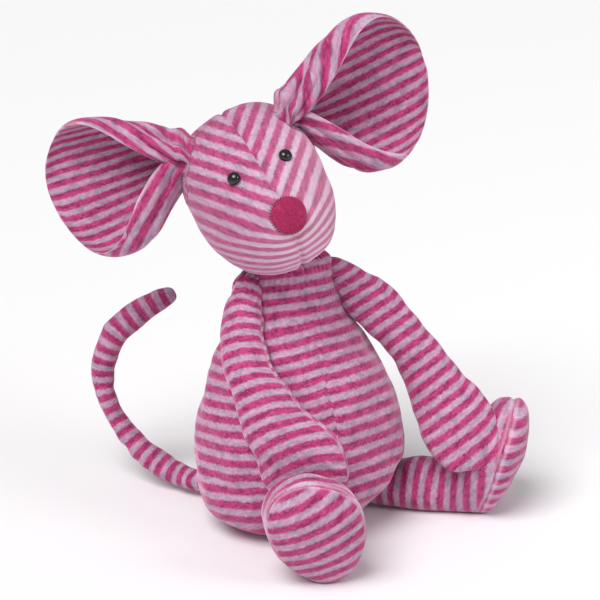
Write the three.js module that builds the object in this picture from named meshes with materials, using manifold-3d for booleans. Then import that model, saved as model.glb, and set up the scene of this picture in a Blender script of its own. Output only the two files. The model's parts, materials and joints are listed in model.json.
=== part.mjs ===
// A seated soft-toy mouse sewn from striped velour and stuffed, in millimetres, Z up.
// The floor is Z = 0. The origin is the middle of the body's flattened seat, and the face looks along -Y.
// "Left" and "right" are the mouse's own, so its left side is at +X.

import * as THREE from "three";
import { mergeVertices } from "three/addons/utils/BufferGeometryUtils.js";
import Module from "manifold-3d";

const { PI, sin, cos, pow, abs, min, max, sqrt, sign } = Math;
const radians = (degrees) => (degrees * PI) / 180;

// Driving dimensions
const SEWN_GAP = 0.3; // left between two pieces that are sewn or pressed together

const BODY = {
  height: 131, // to the closed top of the neck, which sits inside the chin
  belly: 48.1, // half-width where it is widest
  bellyHeight: 33,
  neck: 19.4, // half-width
  neckHeight: 129,
  depthShare: 0.93, // depth over width
  twist: 33, // degrees, the wide way of the belly against X
  bellyAt: [7.2, 4.1], // middle of the belly over the seat
  neckAt: [1.7, 4.1],
  taper: 1.11,
  neckRound: 6, // length over which the neck's end rounds off
  sag: 2.2, // how far the stuffing settles onto the floor
};

const HEAD = {
  centre: [-11.2, 3.4, 157.5],
  back: 32, // from the centre to the back of the head
  snout: 48.2, // from the centre to the tip of the snout
  halfWidth: 30.2,
  halfHeight: 36.5,
  jawNarrowing: 0.05, // how much narrower the chin is than the brow
  squareness: 2.5, // of the section: 2 is an ellipse
  snoutDrop: 12, // of the snout's tip under the centre
  roll: 22.5, // degrees, the crown towards the right shoulder
  pitch: 11.3, // degrees, the snout raised
  yaw: 15.8, // degrees, the snout towards the left
};

// Where each eye sits: forward of the head's centre, and in degrees round from the crown.
const EYE = { radius: 2.9, thickness: 4.4, right: [37.7, -33.4], left: [38.3, 33.2] };
const NOSE = {
  halfWidth: 8.9,
  halfHeight: 9.1,
  swell: 2.4, // past the snout's tip
  depth: 5, // of its rim, back from the snout's tip
  aside: 0.8,
  fullness: 0.8, // of the section: 1 is an ellipse, less is flatter
  topWider: 0.06,
};

const EAR = {
  thickness: 4.6,
  sewnIn: 0.3, // share of the length that bends back into the head
  bendWithin: 0.12, // share of the length in which it turns into the head
  edgeRoll: 2.2, // how sharply only the edge curls at the tip: 1 is an even curl
  rootRoll: 1.25,
  thinUnder: 12, // half-width under which the filling thins out
  faces: [0, -1, 0.3],
};
// angle and back: degrees, from level and from the face's plane. turn: degrees, the cup's opening.
// Half-widths are from the middle line to the edge of the flat cloth. halfWidth is reached at
// widestAt of the length, and atRoot is where the cloth is gathered.
// curl: degrees that the cloth turns through by its edge, at the root and at the tip.
const LEFT_EAR = {
  root: [1.4, 9, 191.6],
  angle: 19.2,
  back: 20,
  turn: -17.9,
  length: 63.5,
  top: { atRoot: 34, halfWidth: 49.8, widestAt: 0.5, tipPower: 1.72, curl: [246, 98] },
  low: { atRoot: 25, halfWidth: 60.8, widestAt: 0.26, tipPower: 1.6, curl: [266, 53] },
  opening: 1.6,
  cup: 11,
  twist: -2.4,
};
const RIGHT_EAR = {
  root: [-42.4, 6, 172.6],
  angle: 197.4,
  back: 6.9,
  turn: -4.7,
  length: 61.4,
  top: { atRoot: 39.6, halfWidth: 47.2, widestAt: 0.39, tipPower: 1.65, curl: [239, 85] },
  low: { atRoot: 30.7, halfWidth: 59.5, widestAt: 0.39, tipPower: 1.5, curl: [266, 85] },
  opening: 1.34,
  cup: 11,
  twist: 5.6,
};

// Arms: the line through the middle, and half-widths evenly spaced along it.
const ARM_THICKNESS = [14, 17]; // at the shoulder and at the paw
const RIGHT_ARM = {
  route: [
    [-13, -2, 121],
    [-18, -18, 103],
    [-15, -32, 85.5],
    [-4.5, -41.5, 67.5],
    [8, -47.2, 48],
    [15, -49, 28],
  ],
  halfWidths: [7, 9, 10.5, 14, 19.2, 18.5],
  face: [-0.3, -0.9, 0.3],
};
const LEFT_ARM = {
  route: [
    [18, 9, 120],
    [40, 8.4, 104],
    [57, 7.2, 83.2],
    [70, 5, 63.4],
    [80, -1, 45.4],
    [84, -4.4, 28],
  ],
  halfWidths: [9, 9.6, 9.7, 12, 18, 18.8],
  face: [0.1, -0.95, 0.3],
};

const TAIL = {
  route: [
    [-28, 14, 9.6],
    [-50, 31, 8],
    [-71, 40, 20.5],
    [-85.5, 45.5, 47],
    [-80, 46, 72.5],
    [-65, 46, 86],
    [-51.5, 46, 93.5],
  ],
  girth: [4.3, 5.8, 4.5, 6.1, 5.5], // half-widths, evenly spaced along the line
};

const LEG = {
  hip: [9, 6], // half-width and half-height where it is sewn on
  ankle: [12.8, 12.2],
  narrowsOver: 42, // from the ankle's girth to the hip's
  hipLift: 3.5, // of the leg's underside off the floor
  hipRound: 9, // length over which the sewn end rounds off
  settle: 1.2, // how far the stuffing settles onto the floor
  footHalfWidth: 21.5,
  footHeight: 54,
  heelNarrowing: 0.17, // of the foot's width, towards the heel
  footDepth: 31, // from the sole back to where the instep rises
  instep: 14, // length over which it rises
  soleRound: 10, // between the foot's upper and its sole
  soleSquareness: 2.2, // of that rounding: 2 is an ellipse
  toesOut: 0.27, // lean of the sole, toes away from the body
};
const RIGHT_LEG = { hip: [6.6, -18], heading: -81, length: 55, tilt: -0.22 };
const LEFT_LEG = { hip: [22, 18.5], heading: -6, length: 81, tilt: 0 };

// Shaping
const ovalPower = (share, power) => pow(max(0, 1 - pow(abs(share), power)), 1 / power);
const squared = (value, power) => sign(value) * pow(abs(value), 2 / power);
const ease = (share) => {
  const s = min(1, max(0, share));
  return s * s * (3 - 2 * s);
};
const mix = (a, b, share) => a + (b - a) * share;

function volumeOf(geometry) {
  const at = geometry.attributes.position;
  const corner = [new THREE.Vector3(), new THREE.Vector3(), new THREE.Vector3()];
  let sum = 0;
  for (let i = 0; i < geometry.index.count; i += 3) {
    corner.forEach((c, k) => c.fromBufferAttribute(at, geometry.index.getX(i + k)));
    sum += corner[0].dot(corner[1].cross(corner[2])) / 6;
  }
  return sum;
}

function turnedOut(geometry) {
  if (volumeOf(geometry) < 0) {
    const index = geometry.index;
    for (let i = 0; i < index.count; i += 3) {
      const second = index.getX(i + 1);
      index.setX(i + 1, index.getX(i + 2));
      index.setX(i + 2, second);
    }
  }
  return geometry;
}

// A closed, stuffed skin: the vertices of a sphere go where place(turn, end) says. turn is the angle
// round the piece, and end runs from 0 at its first closed end to 1 at its last.
function stuffed(around, along, place) {
  const ball = new THREE.SphereGeometry(1, around, along);
  ball.deleteAttribute("normal");
  ball.deleteAttribute("uv");
  const skin = mergeVertices(ball, 1e-4);
  const at = skin.attributes.position;
  for (let i = 0; i < at.count; i++) {
    const turn = Math.atan2(at.getZ(i), -at.getX(i));
    const end = Math.acos(min(1, max(-1, at.getY(i)))) / PI;
    const p = place(turn, end);
    at.setXYZ(i, p.x, p.y, p.z);
  }
  return turnedOut(skin);
}

// Stations lie closer together towards both ends, where a piece rounds off.
const stationOf = (end) => (1 - cos(PI * end)) / 2;

function settled(p) {
  p.z = max(0, p.z);
  return p;
}

// A smooth curve through evenly spaced values.
function smooth(values, share) {
  return new THREE.SplineCurve(values.map((v, i) => new THREE.Vector2(i, v))).getPoint(share).y;
}

// Solids
const wasm = await Module();
wasm.setup();

const solidOf = (geometry) =>
  new wasm.Manifold(
    new wasm.Mesh({
      numProp: 3,
      vertProperties: new Float32Array(geometry.attributes.position.array),
      triVerts: new Uint32Array(geometry.index.array),
    }),
  );

function geometryOf(solid) {
  const mesh = solid.getMesh();
  const geometry = new THREE.BufferGeometry();
  geometry.setAttribute("position", new THREE.BufferAttribute(mesh.vertProperties, 3));
  geometry.setIndex(new THREE.BufferAttribute(mesh.triVerts, 1));
  return geometry;
}

// The same skin, a sewing gap further out.
function swollen(geometry) {
  const skin = geometry.clone();
  skin.computeVertexNormals();
  const { position, normal } = skin.attributes;
  for (let i = 0; i < position.count; i++) {
    position.setXYZ(
      i,
      position.getX(i) + SEWN_GAP * normal.getX(i),
      position.getY(i) + SEWN_GAP * normal.getY(i),
      position.getZ(i) + SEWN_GAP * normal.getZ(i),
    );
  }
  return skin;
}

// A piece with its sewn side shaped by the pieces it is sewn or pressed against. Only the largest
// part is kept, so a sliver that another piece cuts off is left out.
function fitted(geometry, ...neighbours) {
  const cut = neighbours.reduce((solid, n) => solid.subtract(solidOf(swollen(n))), solidOf(geometry));
  return geometryOf(cut.decompose().reduce((a, b) => (a.volume() > b.volume() ? a : b)));
}

// Body: a pear, flattened where it sits
function bodySkin() {
  const wide = radians(BODY.twist);
  return stuffed(32, 24, (turn, end) => {
    const z = stationOf(end) * (BODY.height + BODY.sag) - BODY.sag;
    const share = min(1, max(0, (z - BODY.bellyHeight) / (BODY.neckHeight - BODY.bellyHeight)));
    const half = mix(BODY.neck, BODY.belly, (1 + cos(PI * pow(share, BODY.taper))) / 2);
    const low = min(1, (z + BODY.sag) / (BODY.bellyHeight + BODY.sag));
    const high = max(0, 1 - (BODY.height - z) / BODY.neckRound);
    const r = half * ovalPower(1 - low, 2) * ovalPower(high, 2);
    const u = r * cos(turn);
    const v = r * mix(BODY.depthShare, 1, share) * sin(turn);
    const risen = ease(z / BODY.bellyHeight);
    const upper = ease(share);
    const x = mix(BODY.bellyAt[0] * risen, BODY.neckAt[0], upper);
    const y = mix(BODY.bellyAt[1] * risen, BODY.neckAt[1], upper);
    return settled(
      new THREE.Vector3(x + u * cos(wide) - v * sin(wide), y + u * sin(wide) + v * cos(wide), z),
    );
  });
}

// Head: an egg whose small end is the snout
const headFrame = new THREE.Matrix4()
  .makeTranslation(...HEAD.centre)
  .multiply(new THREE.Matrix4().makeRotationY(-radians(HEAD.roll)))
  .multiply(new THREE.Matrix4().makeRotationZ(radians(HEAD.yaw)))
  .multiply(new THREE.Matrix4().makeRotationX(-radians(HEAD.pitch)));

const onHead = (x, forward, z) => new THREE.Vector3(x, -forward, z).applyMatrix4(headFrame);

// The head's surface, turn round from the crown and forward from its centre.
function headAt(turn, forward) {
  const share = ovalPower(forward / (forward < 0 ? HEAD.back : HEAD.snout), 2);
  const drop = HEAD.snoutDrop * pow(max(0, forward) / HEAD.snout, 1.5);
  const tall = squared(cos(turn), HEAD.squareness);
  const wide = HEAD.halfWidth * share * (1 + HEAD.jawNarrowing * tall);
  return onHead(
    wide * squared(sin(turn), HEAD.squareness),
    forward,
    HEAD.halfHeight * share * tall - drop,
  );
}

const headSkin = () =>
  stuffed(32, 22, (turn, end) => headAt(turn, mix(-HEAD.back, HEAD.snout, stationOf(end))));

// Eyes: round beads, half sunk in the head
function eyeSkin([forward, degreesRound]) {
  const turnAt = radians(degreesRound);
  const centre = headAt(turnAt, forward);
  const round = headAt(turnAt + 0.02, forward).sub(centre);
  const facing = headAt(turnAt, forward + 0.5).sub(centre).cross(round).normalize();
  const turnTo = new THREE.Quaternion().setFromUnitVectors(new THREE.Vector3(0, 1, 0), facing);
  return stuffed(10, 6, (turn, end) => {
    const away = PI * end;
    return new THREE.Vector3(
      EYE.radius * sin(away) * cos(turn),
      (EYE.thickness / 2) * cos(away),
      EYE.radius * sin(away) * sin(turn),
    )
      .applyQuaternion(turnTo)
      .add(centre);
  });
}

function noseSkin() {
  const rim = HEAD.snout - NOSE.depth;
  return stuffed(18, 6, (turn, end) => {
    const out = PI * end;
    const full = pow(sin(out), NOSE.fullness);
    const wide = NOSE.halfWidth * full * (1 + NOSE.topWider * sin(turn));
    const tall = NOSE.halfHeight * full;
    const forward = rim + (NOSE.depth + NOSE.swell) * cos(out);
    return onHead(wide * cos(turn) + NOSE.aside, forward, tall * sin(turn) - HEAD.snoutDrop);
  });
}

// Ear: a broad oval of cloth, gathered at the head so that both edges curl forward.
// s runs from 0 at the ear's middle line to 1 at its edge, and curl is the angle turned by the edge.
function curled(half, curl, roll, s) {
  const steps = 24;
  let across = 0;
  let forward = 0;
  for (let i = 0; i < steps; i++) {
    const angle = curl * pow(((i + 0.5) / steps) * s, roll);
    across += (cos(angle) * s) / steps;
    forward += (sin(angle) * s) / steps;
  }
  return { across: half * across, forward: half * forward, heading: curl * pow(s, roll) };
}

function earHalf(edge, t) {
  if (t < 0) return edge.atRoot * ovalPower(t / EAR.sewnIn, 3);
  if (t < edge.widestAt) {
    return mix(edge.atRoot, edge.halfWidth, sin((PI / 2) * (t / edge.widestAt)));
  }
  return edge.halfWidth * ovalPower((t - edge.widestAt) / (1 - edge.widestAt), edge.tipPower);
}

function earSkin(ear) {
  const angle = radians(ear.angle);
  const back = radians(ear.back);
  const out = new THREE.Vector3(cos(angle) * cos(back), sin(back), sin(angle) * cos(back));
  const face = new THREE.Vector3(...EAR.faces);
  face.addScaledVector(out, -face.dot(out)).normalize();
  const rise = new THREE.Vector3().crossVectors(out, face);
  if (rise.z < 0) rise.negate();
  const opening = radians(ear.turn);
  const root = new THREE.Vector3(...ear.root);
  const inward = new THREE.Vector3(...HEAD.centre).sub(root).normalize();
  const toward = face.clone().multiplyScalar(cos(opening)).addScaledVector(rise, sin(opening));
  const up = rise.multiplyScalar(cos(opening)).addScaledVector(face, -sin(opening));
  return stuffed(32, 24, (turn, end) => {
    const t = mix(-EAR.sewnIn, 1, stationOf(end));
    const share = min(1, max(0, t));
    const grip = pow(1 - share, ear.opening);
    const w = cos(turn);
    const edge = w > 0 ? ear.top : ear.low;
    const half = earHalf(edge, t);
    const section = curled(
      half,
      radians(mix(edge.curl[1], edge.curl[0], grip)),
      mix(EAR.edgeRoll, EAR.rootRoll, grip),
      abs(w),
    );
    const layer = (EAR.thickness / 2) * sin(turn) * sqrt(min(1, half / EAR.thinUnder));
    const twist = radians(ear.twist) * t;
    const across = sign(w) * (section.across - layer * sin(section.heading));
    const forward = section.forward + layer * cos(section.heading);
    const cup = ear.cup * share * share;
    const bent = ease(-t / EAR.bendWithin);
    return root
      .clone()
      .addScaledVector(out, ear.length * mix(t, 0, bent))
      .addScaledVector(inward, ear.length * abs(t) * bent)
      .addScaledVector(up, across * cos(twist) - forward * sin(twist))
      .addScaledVector(toward, across * sin(twist) + forward * cos(twist) + cup);
  });
}

// Arms and tail: tubes along a line, with their broad side to face and rounded off at both ends
function tubeSkin({ around, rings, route, face, wide, thick, roundness }) {
  const line = new THREE.CatmullRomCurve3(route.map((p) => new THREE.Vector3(...p)));
  const toward = new THREE.Vector3(...face).normalize();
  return stuffed(around, rings, (turn, end) => {
    const q = stationOf(end);
    const tangent = line.getTangentAt(q);
    const across = new THREE.Vector3().crossVectors(tangent, toward).normalize();
    const front = new THREE.Vector3().crossVectors(across, tangent).normalize();
    const round = ovalPower(2 * q - 1, roundness);
    return line
      .getPointAt(q)
      .addScaledVector(across, wide(q) * round * cos(turn))
      .addScaledVector(front, thick(q) * round * sin(turn));
  });
}

function armSkin({ route, halfWidths, face }) {
  const wide = (q) => smooth(halfWidths, q);
  const thick = (q) => mix(ARM_THICKNESS[0], ARM_THICKNESS[1], q) / 2;
  return tubeSkin({ around: 16, rings: 20, route, face, wide, thick, roundness: 4.5 });
}

function tailSkin() {
  const girth = (q) => smooth(TAIL.girth, q);
  const shape = { route: TAIL.route, face: [0, -1, 0.3], wide: girth, thick: girth };
  return tubeSkin({ around: 10, rings: 30, roundness: 8, ...shape });
}

// Legs: tubes that lie on the floor, with the foot standing up at the end
function legSkin({ hip, heading, length, tilt }) {
  const angle = radians(heading);
  const out = new THREE.Vector3(cos(angle), sin(angle), 0);
  const side = new THREE.Vector3(-sin(angle), cos(angle), 0);
  const soleStart = length - LEG.soleRound;
  return stuffed(20, 24, (turn, end) => {
    const x = length * stationOf(end);
    const at = min(1, x / LEG.narrowsOver);
    const foot = ease((x - (length - LEG.footDepth)) / LEG.instep);
    const start = ovalPower(max(0, 1 - x / LEG.hipRound), 2);
    const sole = ovalPower(max(0, (x - soleStart) / LEG.soleRound), LEG.soleSquareness);
    const heel = 1 + LEG.heelNarrowing * foot * sin(turn);
    const wide = mix(mix(LEG.hip[0], LEG.ankle[0], at), LEG.footHalfWidth, foot) * start * sole * heel;
    const tall = mix(mix(LEG.hip[1], LEG.ankle[1], at), (LEG.footHeight + LEG.settle) / 2, foot);
    const under = mix(LEG.hipLift, -LEG.settle, at);
    const height = under + tall * (1 + start * sole * sin(turn));
    return settled(
      new THREE.Vector3(hip[0], hip[1], height)
        .addScaledVector(out, x + LEG.toesOut * foot * height)
        .addScaledVector(side, wide * cos(turn) + tilt * foot * (height - LEG.footHeight / 2)),
    );
  });
}

// Materials
const velour = () =>
  new THREE.MeshStandardMaterial({ color: 0xc95f93, roughness: 0.95, metalness: 0 });
const noseVelour = () =>
  new THREE.MeshStandardMaterial({ color: 0xb22a5f, roughness: 0.85, metalness: 0 });
const blackBead = () =>
  new THREE.MeshStandardMaterial({ color: 0x17171c, roughness: 0.2, metalness: 0 });

function piece(name, geometry, material) {
  const mesh = new THREE.Mesh(geometry, material);
  mesh.name = name;
  return mesh;
}

const body = bodySkin();
const head = headSkin();
const eyes = { right: eyeSkin(EYE.right), left: eyeSkin(EYE.left) };
const legs = { right: legSkin(RIGHT_LEG), left: legSkin(LEFT_LEG) };
const arms = { right: armSkin(RIGHT_ARM), left: armSkin(LEFT_ARM) };

const mouse = new THREE.Group();
mouse.name = "mouse";
mouse.add(
  piece("body", fitted(body, head), velour()),
  piece("head", fitted(head, eyes.right, eyes.left), velour()),
  piece("nose", fitted(noseSkin(), head), noseVelour()),
  piece("tail", fitted(tailSkin(), body), velour()),
  piece("ear_right", fitted(earSkin(RIGHT_EAR), head), velour()),
  piece("ear_left", fitted(earSkin(LEFT_EAR), head), velour()),
);
for (const side of ["right", "left"]) {
  mouse.add(
    piece(`eye_${side}`, eyes[side], blackBead()),
    piece(`leg_${side}`, fitted(legs[side], body), velour()),
    piece(`arm_${side}`, fitted(arms[side], body, head, legs[side]), velour()),
  );
}

export default mouse;
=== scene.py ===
# %% [markdown]
# # A seated soft-toy mouse in striped velour
# The real toy is cut from a striped knitted velour, sewn inside out, turned and stuffed, and its big
# ears are gathered where they meet the head. Every piece here is one closed skin of points, shaped by
# the same sizes as the solid model, so that a change of a size changes the piece and its stripes
# together. All sizes are in millimetres until a mesh is made, because that is how a maker would give them.

import copy
import json
import math
from types import SimpleNamespace as Sizes

import bmesh
import bpy
import numpy as np
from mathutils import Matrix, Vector
from mathutils.bvhtree import BVHTree

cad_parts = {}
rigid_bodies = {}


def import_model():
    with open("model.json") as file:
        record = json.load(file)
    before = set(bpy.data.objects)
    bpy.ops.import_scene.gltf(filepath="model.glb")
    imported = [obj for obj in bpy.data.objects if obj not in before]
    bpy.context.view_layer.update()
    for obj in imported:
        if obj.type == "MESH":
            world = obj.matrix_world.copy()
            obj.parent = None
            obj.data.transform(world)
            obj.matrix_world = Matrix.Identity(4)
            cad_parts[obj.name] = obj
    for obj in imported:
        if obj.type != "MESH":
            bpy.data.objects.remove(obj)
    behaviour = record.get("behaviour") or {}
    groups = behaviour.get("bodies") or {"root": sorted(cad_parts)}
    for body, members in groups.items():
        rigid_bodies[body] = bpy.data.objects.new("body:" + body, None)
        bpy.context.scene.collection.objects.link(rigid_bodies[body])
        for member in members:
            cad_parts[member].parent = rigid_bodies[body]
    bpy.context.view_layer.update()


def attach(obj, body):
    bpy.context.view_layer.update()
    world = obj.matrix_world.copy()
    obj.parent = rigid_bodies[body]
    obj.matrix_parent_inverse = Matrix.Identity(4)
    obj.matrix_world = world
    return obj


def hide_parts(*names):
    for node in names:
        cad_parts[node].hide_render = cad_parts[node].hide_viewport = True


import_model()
MM = 0.001

# %% [markdown]
# ## Camera
# The photograph looks down on the toy at about twenty degrees from straight in front, with a long lens.
# A long lens could be imitated by an orthographic camera, but a real one keeps the slight growth of the
# near foot, so a perspective camera stands a metre away.

# %% Camera
CAMERA = Sizes(aims_at=[7.5, 10.4, 103.4], distance=1000, looks_down=20, lens=133.3, sensor=36)
down = math.radians(CAMERA.looks_down)
camera = bpy.data.objects.new("camera", bpy.data.cameras.new("camera"))
away = Vector((0, -math.cos(down), math.sin(down)))
camera.location = (Vector(CAMERA.aims_at) + CAMERA.distance * away) * MM
camera.rotation_euler = (math.pi / 2 - down, 0, 0)
camera.data.lens = CAMERA.lens
camera.data.sensor_width = CAMERA.sensor
bpy.context.scene.collection.objects.link(camera)
bpy.context.scene.camera = camera
print("camera at, mm:", [round(v / MM) for v in camera.location])

# %% [markdown]
# ## Shaping helpers
# A stuffed piece could be sculpted by hand, or blown up from a coarse cage. Here its shape follows a
# few rules, so each point is worked out from two numbers: `turn`, the angle round the piece, and `end`,
# which runs from 0 at its first closed end to 1 at its last.

# %% Curves that several pieces use


def oval(share, power):
    return np.maximum(0, 1 - np.abs(share) ** power) ** (1 / power)


def squared(value, power):
    return np.sign(value) * np.abs(value) ** (2 / power)


def ease(share):
    share = np.clip(share, 0, 1)
    return share * share * (3 - 2 * share)


def mix(a, b, share):
    return a + (b - a) * share


def station_of(end):
    """Stations lie closer together towards both ends, where a piece rounds off."""
    return (1 - np.cos(np.pi * end)) / 2


def unit(vector):
    vector = np.asarray(vector, float)
    return vector / np.maximum(1e-12, np.linalg.norm(vector, axis=-1, keepdims=True))


def bell(distance, width):
    return np.exp(-((distance / width) ** 2))


# %% A smooth line through points, measured along its length


def cubic_parts(b, c, before, after):
    """The cubic and the square part of the curve that runs from b to c with these slopes."""
    return 2 * b - 2 * c + before + after, -3 * b + 3 * c - 2 * before - after


def catmull(points, samples):
    """A centripetal Catmull-Rom curve through the points, at evenly spaced parameters."""
    p = np.asarray(points, float)
    p = np.vstack([2 * p[0] - p[1], p, 2 * p[-1] - p[-2]])
    at = np.linspace(0, len(points) - 1, samples)
    k = np.minimum(at.astype(int), len(points) - 2)
    share = (at - k)[:, None]
    a, b, c, d = (p[k + i] for i in range(4))
    pairs = ((a, b), (b, c), (c, d))
    gaps = [np.linalg.norm(second - first, axis=1)[:, None] ** 0.5 for first, second in pairs]
    before = ((b - a) / gaps[0] - (c - a) / (gaps[0] + gaps[1]) + (c - b) / gaps[1]) * gaps[1]
    after = ((c - b) / gaps[1] - (d - b) / (gaps[1] + gaps[2]) + (d - c) / gaps[2]) * gaps[1]
    cubic, square = cubic_parts(b, c, before, after)
    return ((cubic * share + square) * share + before) * share + b


class Line:
    """The middle line of a limb. Shares of its length give points and directions."""

    samples, reach = 400, 0.004

    def __init__(self, route):
        self.points = catmull(route, self.samples)
        steps = np.linalg.norm(np.diff(self.points, axis=0), axis=1)
        self.along = np.concatenate([[0], np.cumsum(steps)])
        self.length = self.along[-1]

    def at(self, share):
        wanted = np.asarray(share) * self.length
        return np.stack([np.interp(wanted, self.along, self.points[:, k]) for k in range(3)], -1)

    def direction(self, share):
        after, before = np.minimum(1, share + self.reach), np.maximum(0, share - self.reach)
        return unit(self.at(after) - self.at(before))


def smooth(values, share):
    """A smooth curve through evenly spaced values."""
    padded = np.concatenate([[values[0]], values, [values[-1]]])
    at = np.clip(share, 0, 1) * (len(values) - 1)
    k = np.minimum(at.astype(int), len(values) - 2)
    s = at - k
    a, b, c, d = (padded[k + i] for i in range(4))
    before, after = (c - a) / 2, (d - b) / 2
    cubic, square = cubic_parts(b, c, before, after)
    return (cubic * s + square) * s * s + before * s + b


# %% [markdown]
# Stuffing is never even, so a skin also gets soft lumps. Blender's own noise could be read point by
# point, but a sum of plane waves in random directions is smooth, quick, and the same on every run.

# %% Soft lumps


WAVES = Sizes(count=14, lengths=(1.4, 3.0))


def lumps(points, size, seed):
    """Smooth unevenness between about -1 and 1 whose bumps are `size` across."""
    rng = np.random.default_rng(seed)
    total = np.zeros(points.shape[:-1])
    for _ in range(WAVES.count):
        heading = unit(rng.normal(size=3))
        length = size * rng.uniform(*WAVES.lengths)
        total += np.sin(2 * np.pi * points @ heading / length + rng.uniform(0, 2 * np.pi))
    return total / math.sqrt(WAVES.count)


def uneven(points, seed, layers):
    """Soft lumps of several sizes together. Each layer is a height and the size of its bumps."""
    return sum(height * lumps(points, size, seed + k) for k, (height, size) in enumerate(layers))


# %% [markdown]
# ## The skin of a stuffed piece
# The grid of points knows how far it is along and round the cloth. That gives every piece a cloth map,
# a UV map in metres, on which a stripe is simply a band of the second coordinate. A piece is sewn from
# panels, and each panel has its own map, so stripes meet at a seam in the way that cut cloth does.

# %% Skin


class Skin:
    """Rings of points from one closed end to the other, in millimetres."""

    def __init__(self, place, around, rings, first=0.0):
        columns = first + 2 * np.pi * np.arange(around) / around
        self.first = first
        self.turn, self.end = np.meshgrid(columns, np.arange(rings + 1) / rings)
        self.set_points(place(self.turn, self.end))
        self.mark()
        # Both lighten the cloth's colour: painted sheen along seams, and painted light with some paleness on
        # the head.
        self.seam = np.zeros(self.turn.shape)
        self.paleness_and_painted_light = np.zeros(self.turn.shape)

    def set_points(self, points):
        points = np.array(points)
        for row in (0, -1):
            points[row] = points[row].mean(0)
        self.points = points

    def mark(self):
        """The stripes are drawn on the skin as it is now, before it is gathered and wrinkled."""
        self.cut = self.points.copy()

    def marked(self):
        flat = copy.copy(self)
        flat.points = self.cut
        return flat

    def wide(self, values):
        """The values with the first column repeated after the last."""
        return np.concatenate([values, values[:, :1]], axis=1)

    def wide_turn(self):
        return np.concatenate([self.turn, self.turn[:, :1] + 2 * np.pi], axis=1)

    def wide_end(self):
        return self.wide(self.end)

    def faces(self):
        """Corners as indices of the mesh's points, and as (row, column) places on the wide grid."""
        rings, around = len(self.turn) - 1, self.turn.shape[1]
        row, column = (a.ravel() for a in np.meshgrid(np.arange(rings), np.arange(around), indexing="ij"))
        rows = np.stack([row, row, row + 1, row + 1], 1)
        columns = np.stack([column, column + 1, column + 1, column], 1)
        index = 1 + (rows - 1) * around + columns % around
        index[rows == 0] = 0
        index[rows == rings] = 1 + (rings - 1) * around
        if self.volume() < 0:
            index, rows, columns = index[:, ::-1], rows[:, ::-1], columns[:, ::-1]
        return index, rows, columns

    def polygons(self):
        """The faces as lists of the mesh's points: three at a closed end, and four elsewhere."""
        index, _, _ = self.faces()
        return [list(dict.fromkeys(face)) for face in index.tolist()]

    def box(self):
        return self.points.min((0, 1)), self.points.max((0, 1))

    def volume(self):
        p = self.wide(self.points)
        a, b, c, d = p[:-1, :-1], p[:-1, 1:], p[1:, 1:], p[1:, :-1]
        two = np.einsum("ijk,ijk->ij", a, np.cross(b, c)) + np.einsum("ijk,ijk->ij", a, np.cross(c, d))
        return two.sum() / 6

    def flat(self, values):
        """One value for each of the mesh's points: an end has only one."""
        return np.concatenate([values[:1, 0], values[1:-1].reshape(-1, *values.shape[2:]), values[-1:, 0]])

    def vertices(self):
        return self.flat(self.points)

    def normals(self):
        p = self.points
        down = np.gradient(p, axis=0)
        across = np.roll(p, -1, axis=1) - np.roll(p, 1, axis=1)
        normal = unit(np.cross(across, down)) * (1 if self.volume() > 0 else -1)
        for row, inner in ((0, 1), (-1, -2)):
            normal[row] = unit(normal[inner].mean(0))
        return normal

    def along(self):
        """How far down the cloth each ring lies."""
        steps = np.linalg.norm(np.diff(self.points, axis=0), axis=-1).mean(1)
        return np.concatenate([[0], np.cumsum(steps)])[:, None]

    def round_from(self, turn):
        """How far round the cloth each point of the wide grid lies from the line at `turn`."""
        p = self.wide(self.points)
        steps = np.linalg.norm(np.diff(p, axis=1), axis=-1)
        travelled = np.concatenate([np.zeros((len(p), 1)), np.cumsum(steps, axis=1)], axis=1)
        whole = travelled[:, -1:]
        share = ((turn - self.first) / (2 * np.pi)) % 1.0
        column, columns = share * self.turn.shape[1], np.arange(p.shape[1])
        start = np.stack([np.interp(column, columns, row) for row in travelled])
        gone = travelled - start[:, None]
        return (gone + whole / 2) % np.maximum(whole, 1e-9) - whole / 2

    def push(self, height):
        """Moves every point out along its normal."""
        height = np.broadcast_to(height, self.turn.shape).copy()
        for row in (0, -1):
            height[row] = height[row].mean()
        self.set_points(self.points + self.normals() * height[..., None])


# %% [markdown]
# Where one piece is sewn or pressed against another, its skin lies against the other's. A Boolean would
# cut it, but the real cloth is dented, so each point that is inside the neighbour moves to its surface.

# %% Press a skin against its neighbours
SEWN_GAP = 0.2


def surface_of(skin):
    """A skin as a surface that points are measured against, with its box."""
    return BVHTree.FromPolygons(skin.vertices().tolist(), skin.polygons()), *skin.box()


def pressed(points, neighbours):
    """The points, with those that are inside a neighbour moved onto its surface, and how many moved."""
    points = points.copy()
    moved = 0
    for neighbour in neighbours:
        tree, low, high = surface_of(neighbour)
        near = ((points > low - SEWN_GAP) & (points < high + SEWN_GAP)).all(-1)
        for index in map(tuple, np.argwhere(near)):
            place, normal, _, _ = tree.find_nearest(points[index])
            if (Vector(points[index]) - place).dot(normal) < SEWN_GAP:
                points[index] = place + normal * SEWN_GAP
                moved += 1
    return points, moved


def press(skin, *neighbours):
    points, _ = pressed(skin.points, neighbours)
    skin.set_points(points)


# %% [markdown]
# ## Cloth
# A sewn and stuffed skin puckers beside its seams, because the cloth is a little larger than the shape
# that the seams hold. Blender's Cloth finds those wrinkles: a coarse copy of the skin, cut a few percent
# too large, is held at its seams and blown up. Only its wrinkles are kept and given to the fine skin,
# since the swelling as a whole is already in the skin's own shape.

# %% Let a skin wrinkle
CLOTH = Sizes(
    cell=4.2, fewest_round=16, fewest_along=6, spare=0.07, pressure=3.0, mass=0.1, bending=0.02, quality=6,
    frames=20, swelling=16, deepest=2.6,
)


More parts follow.
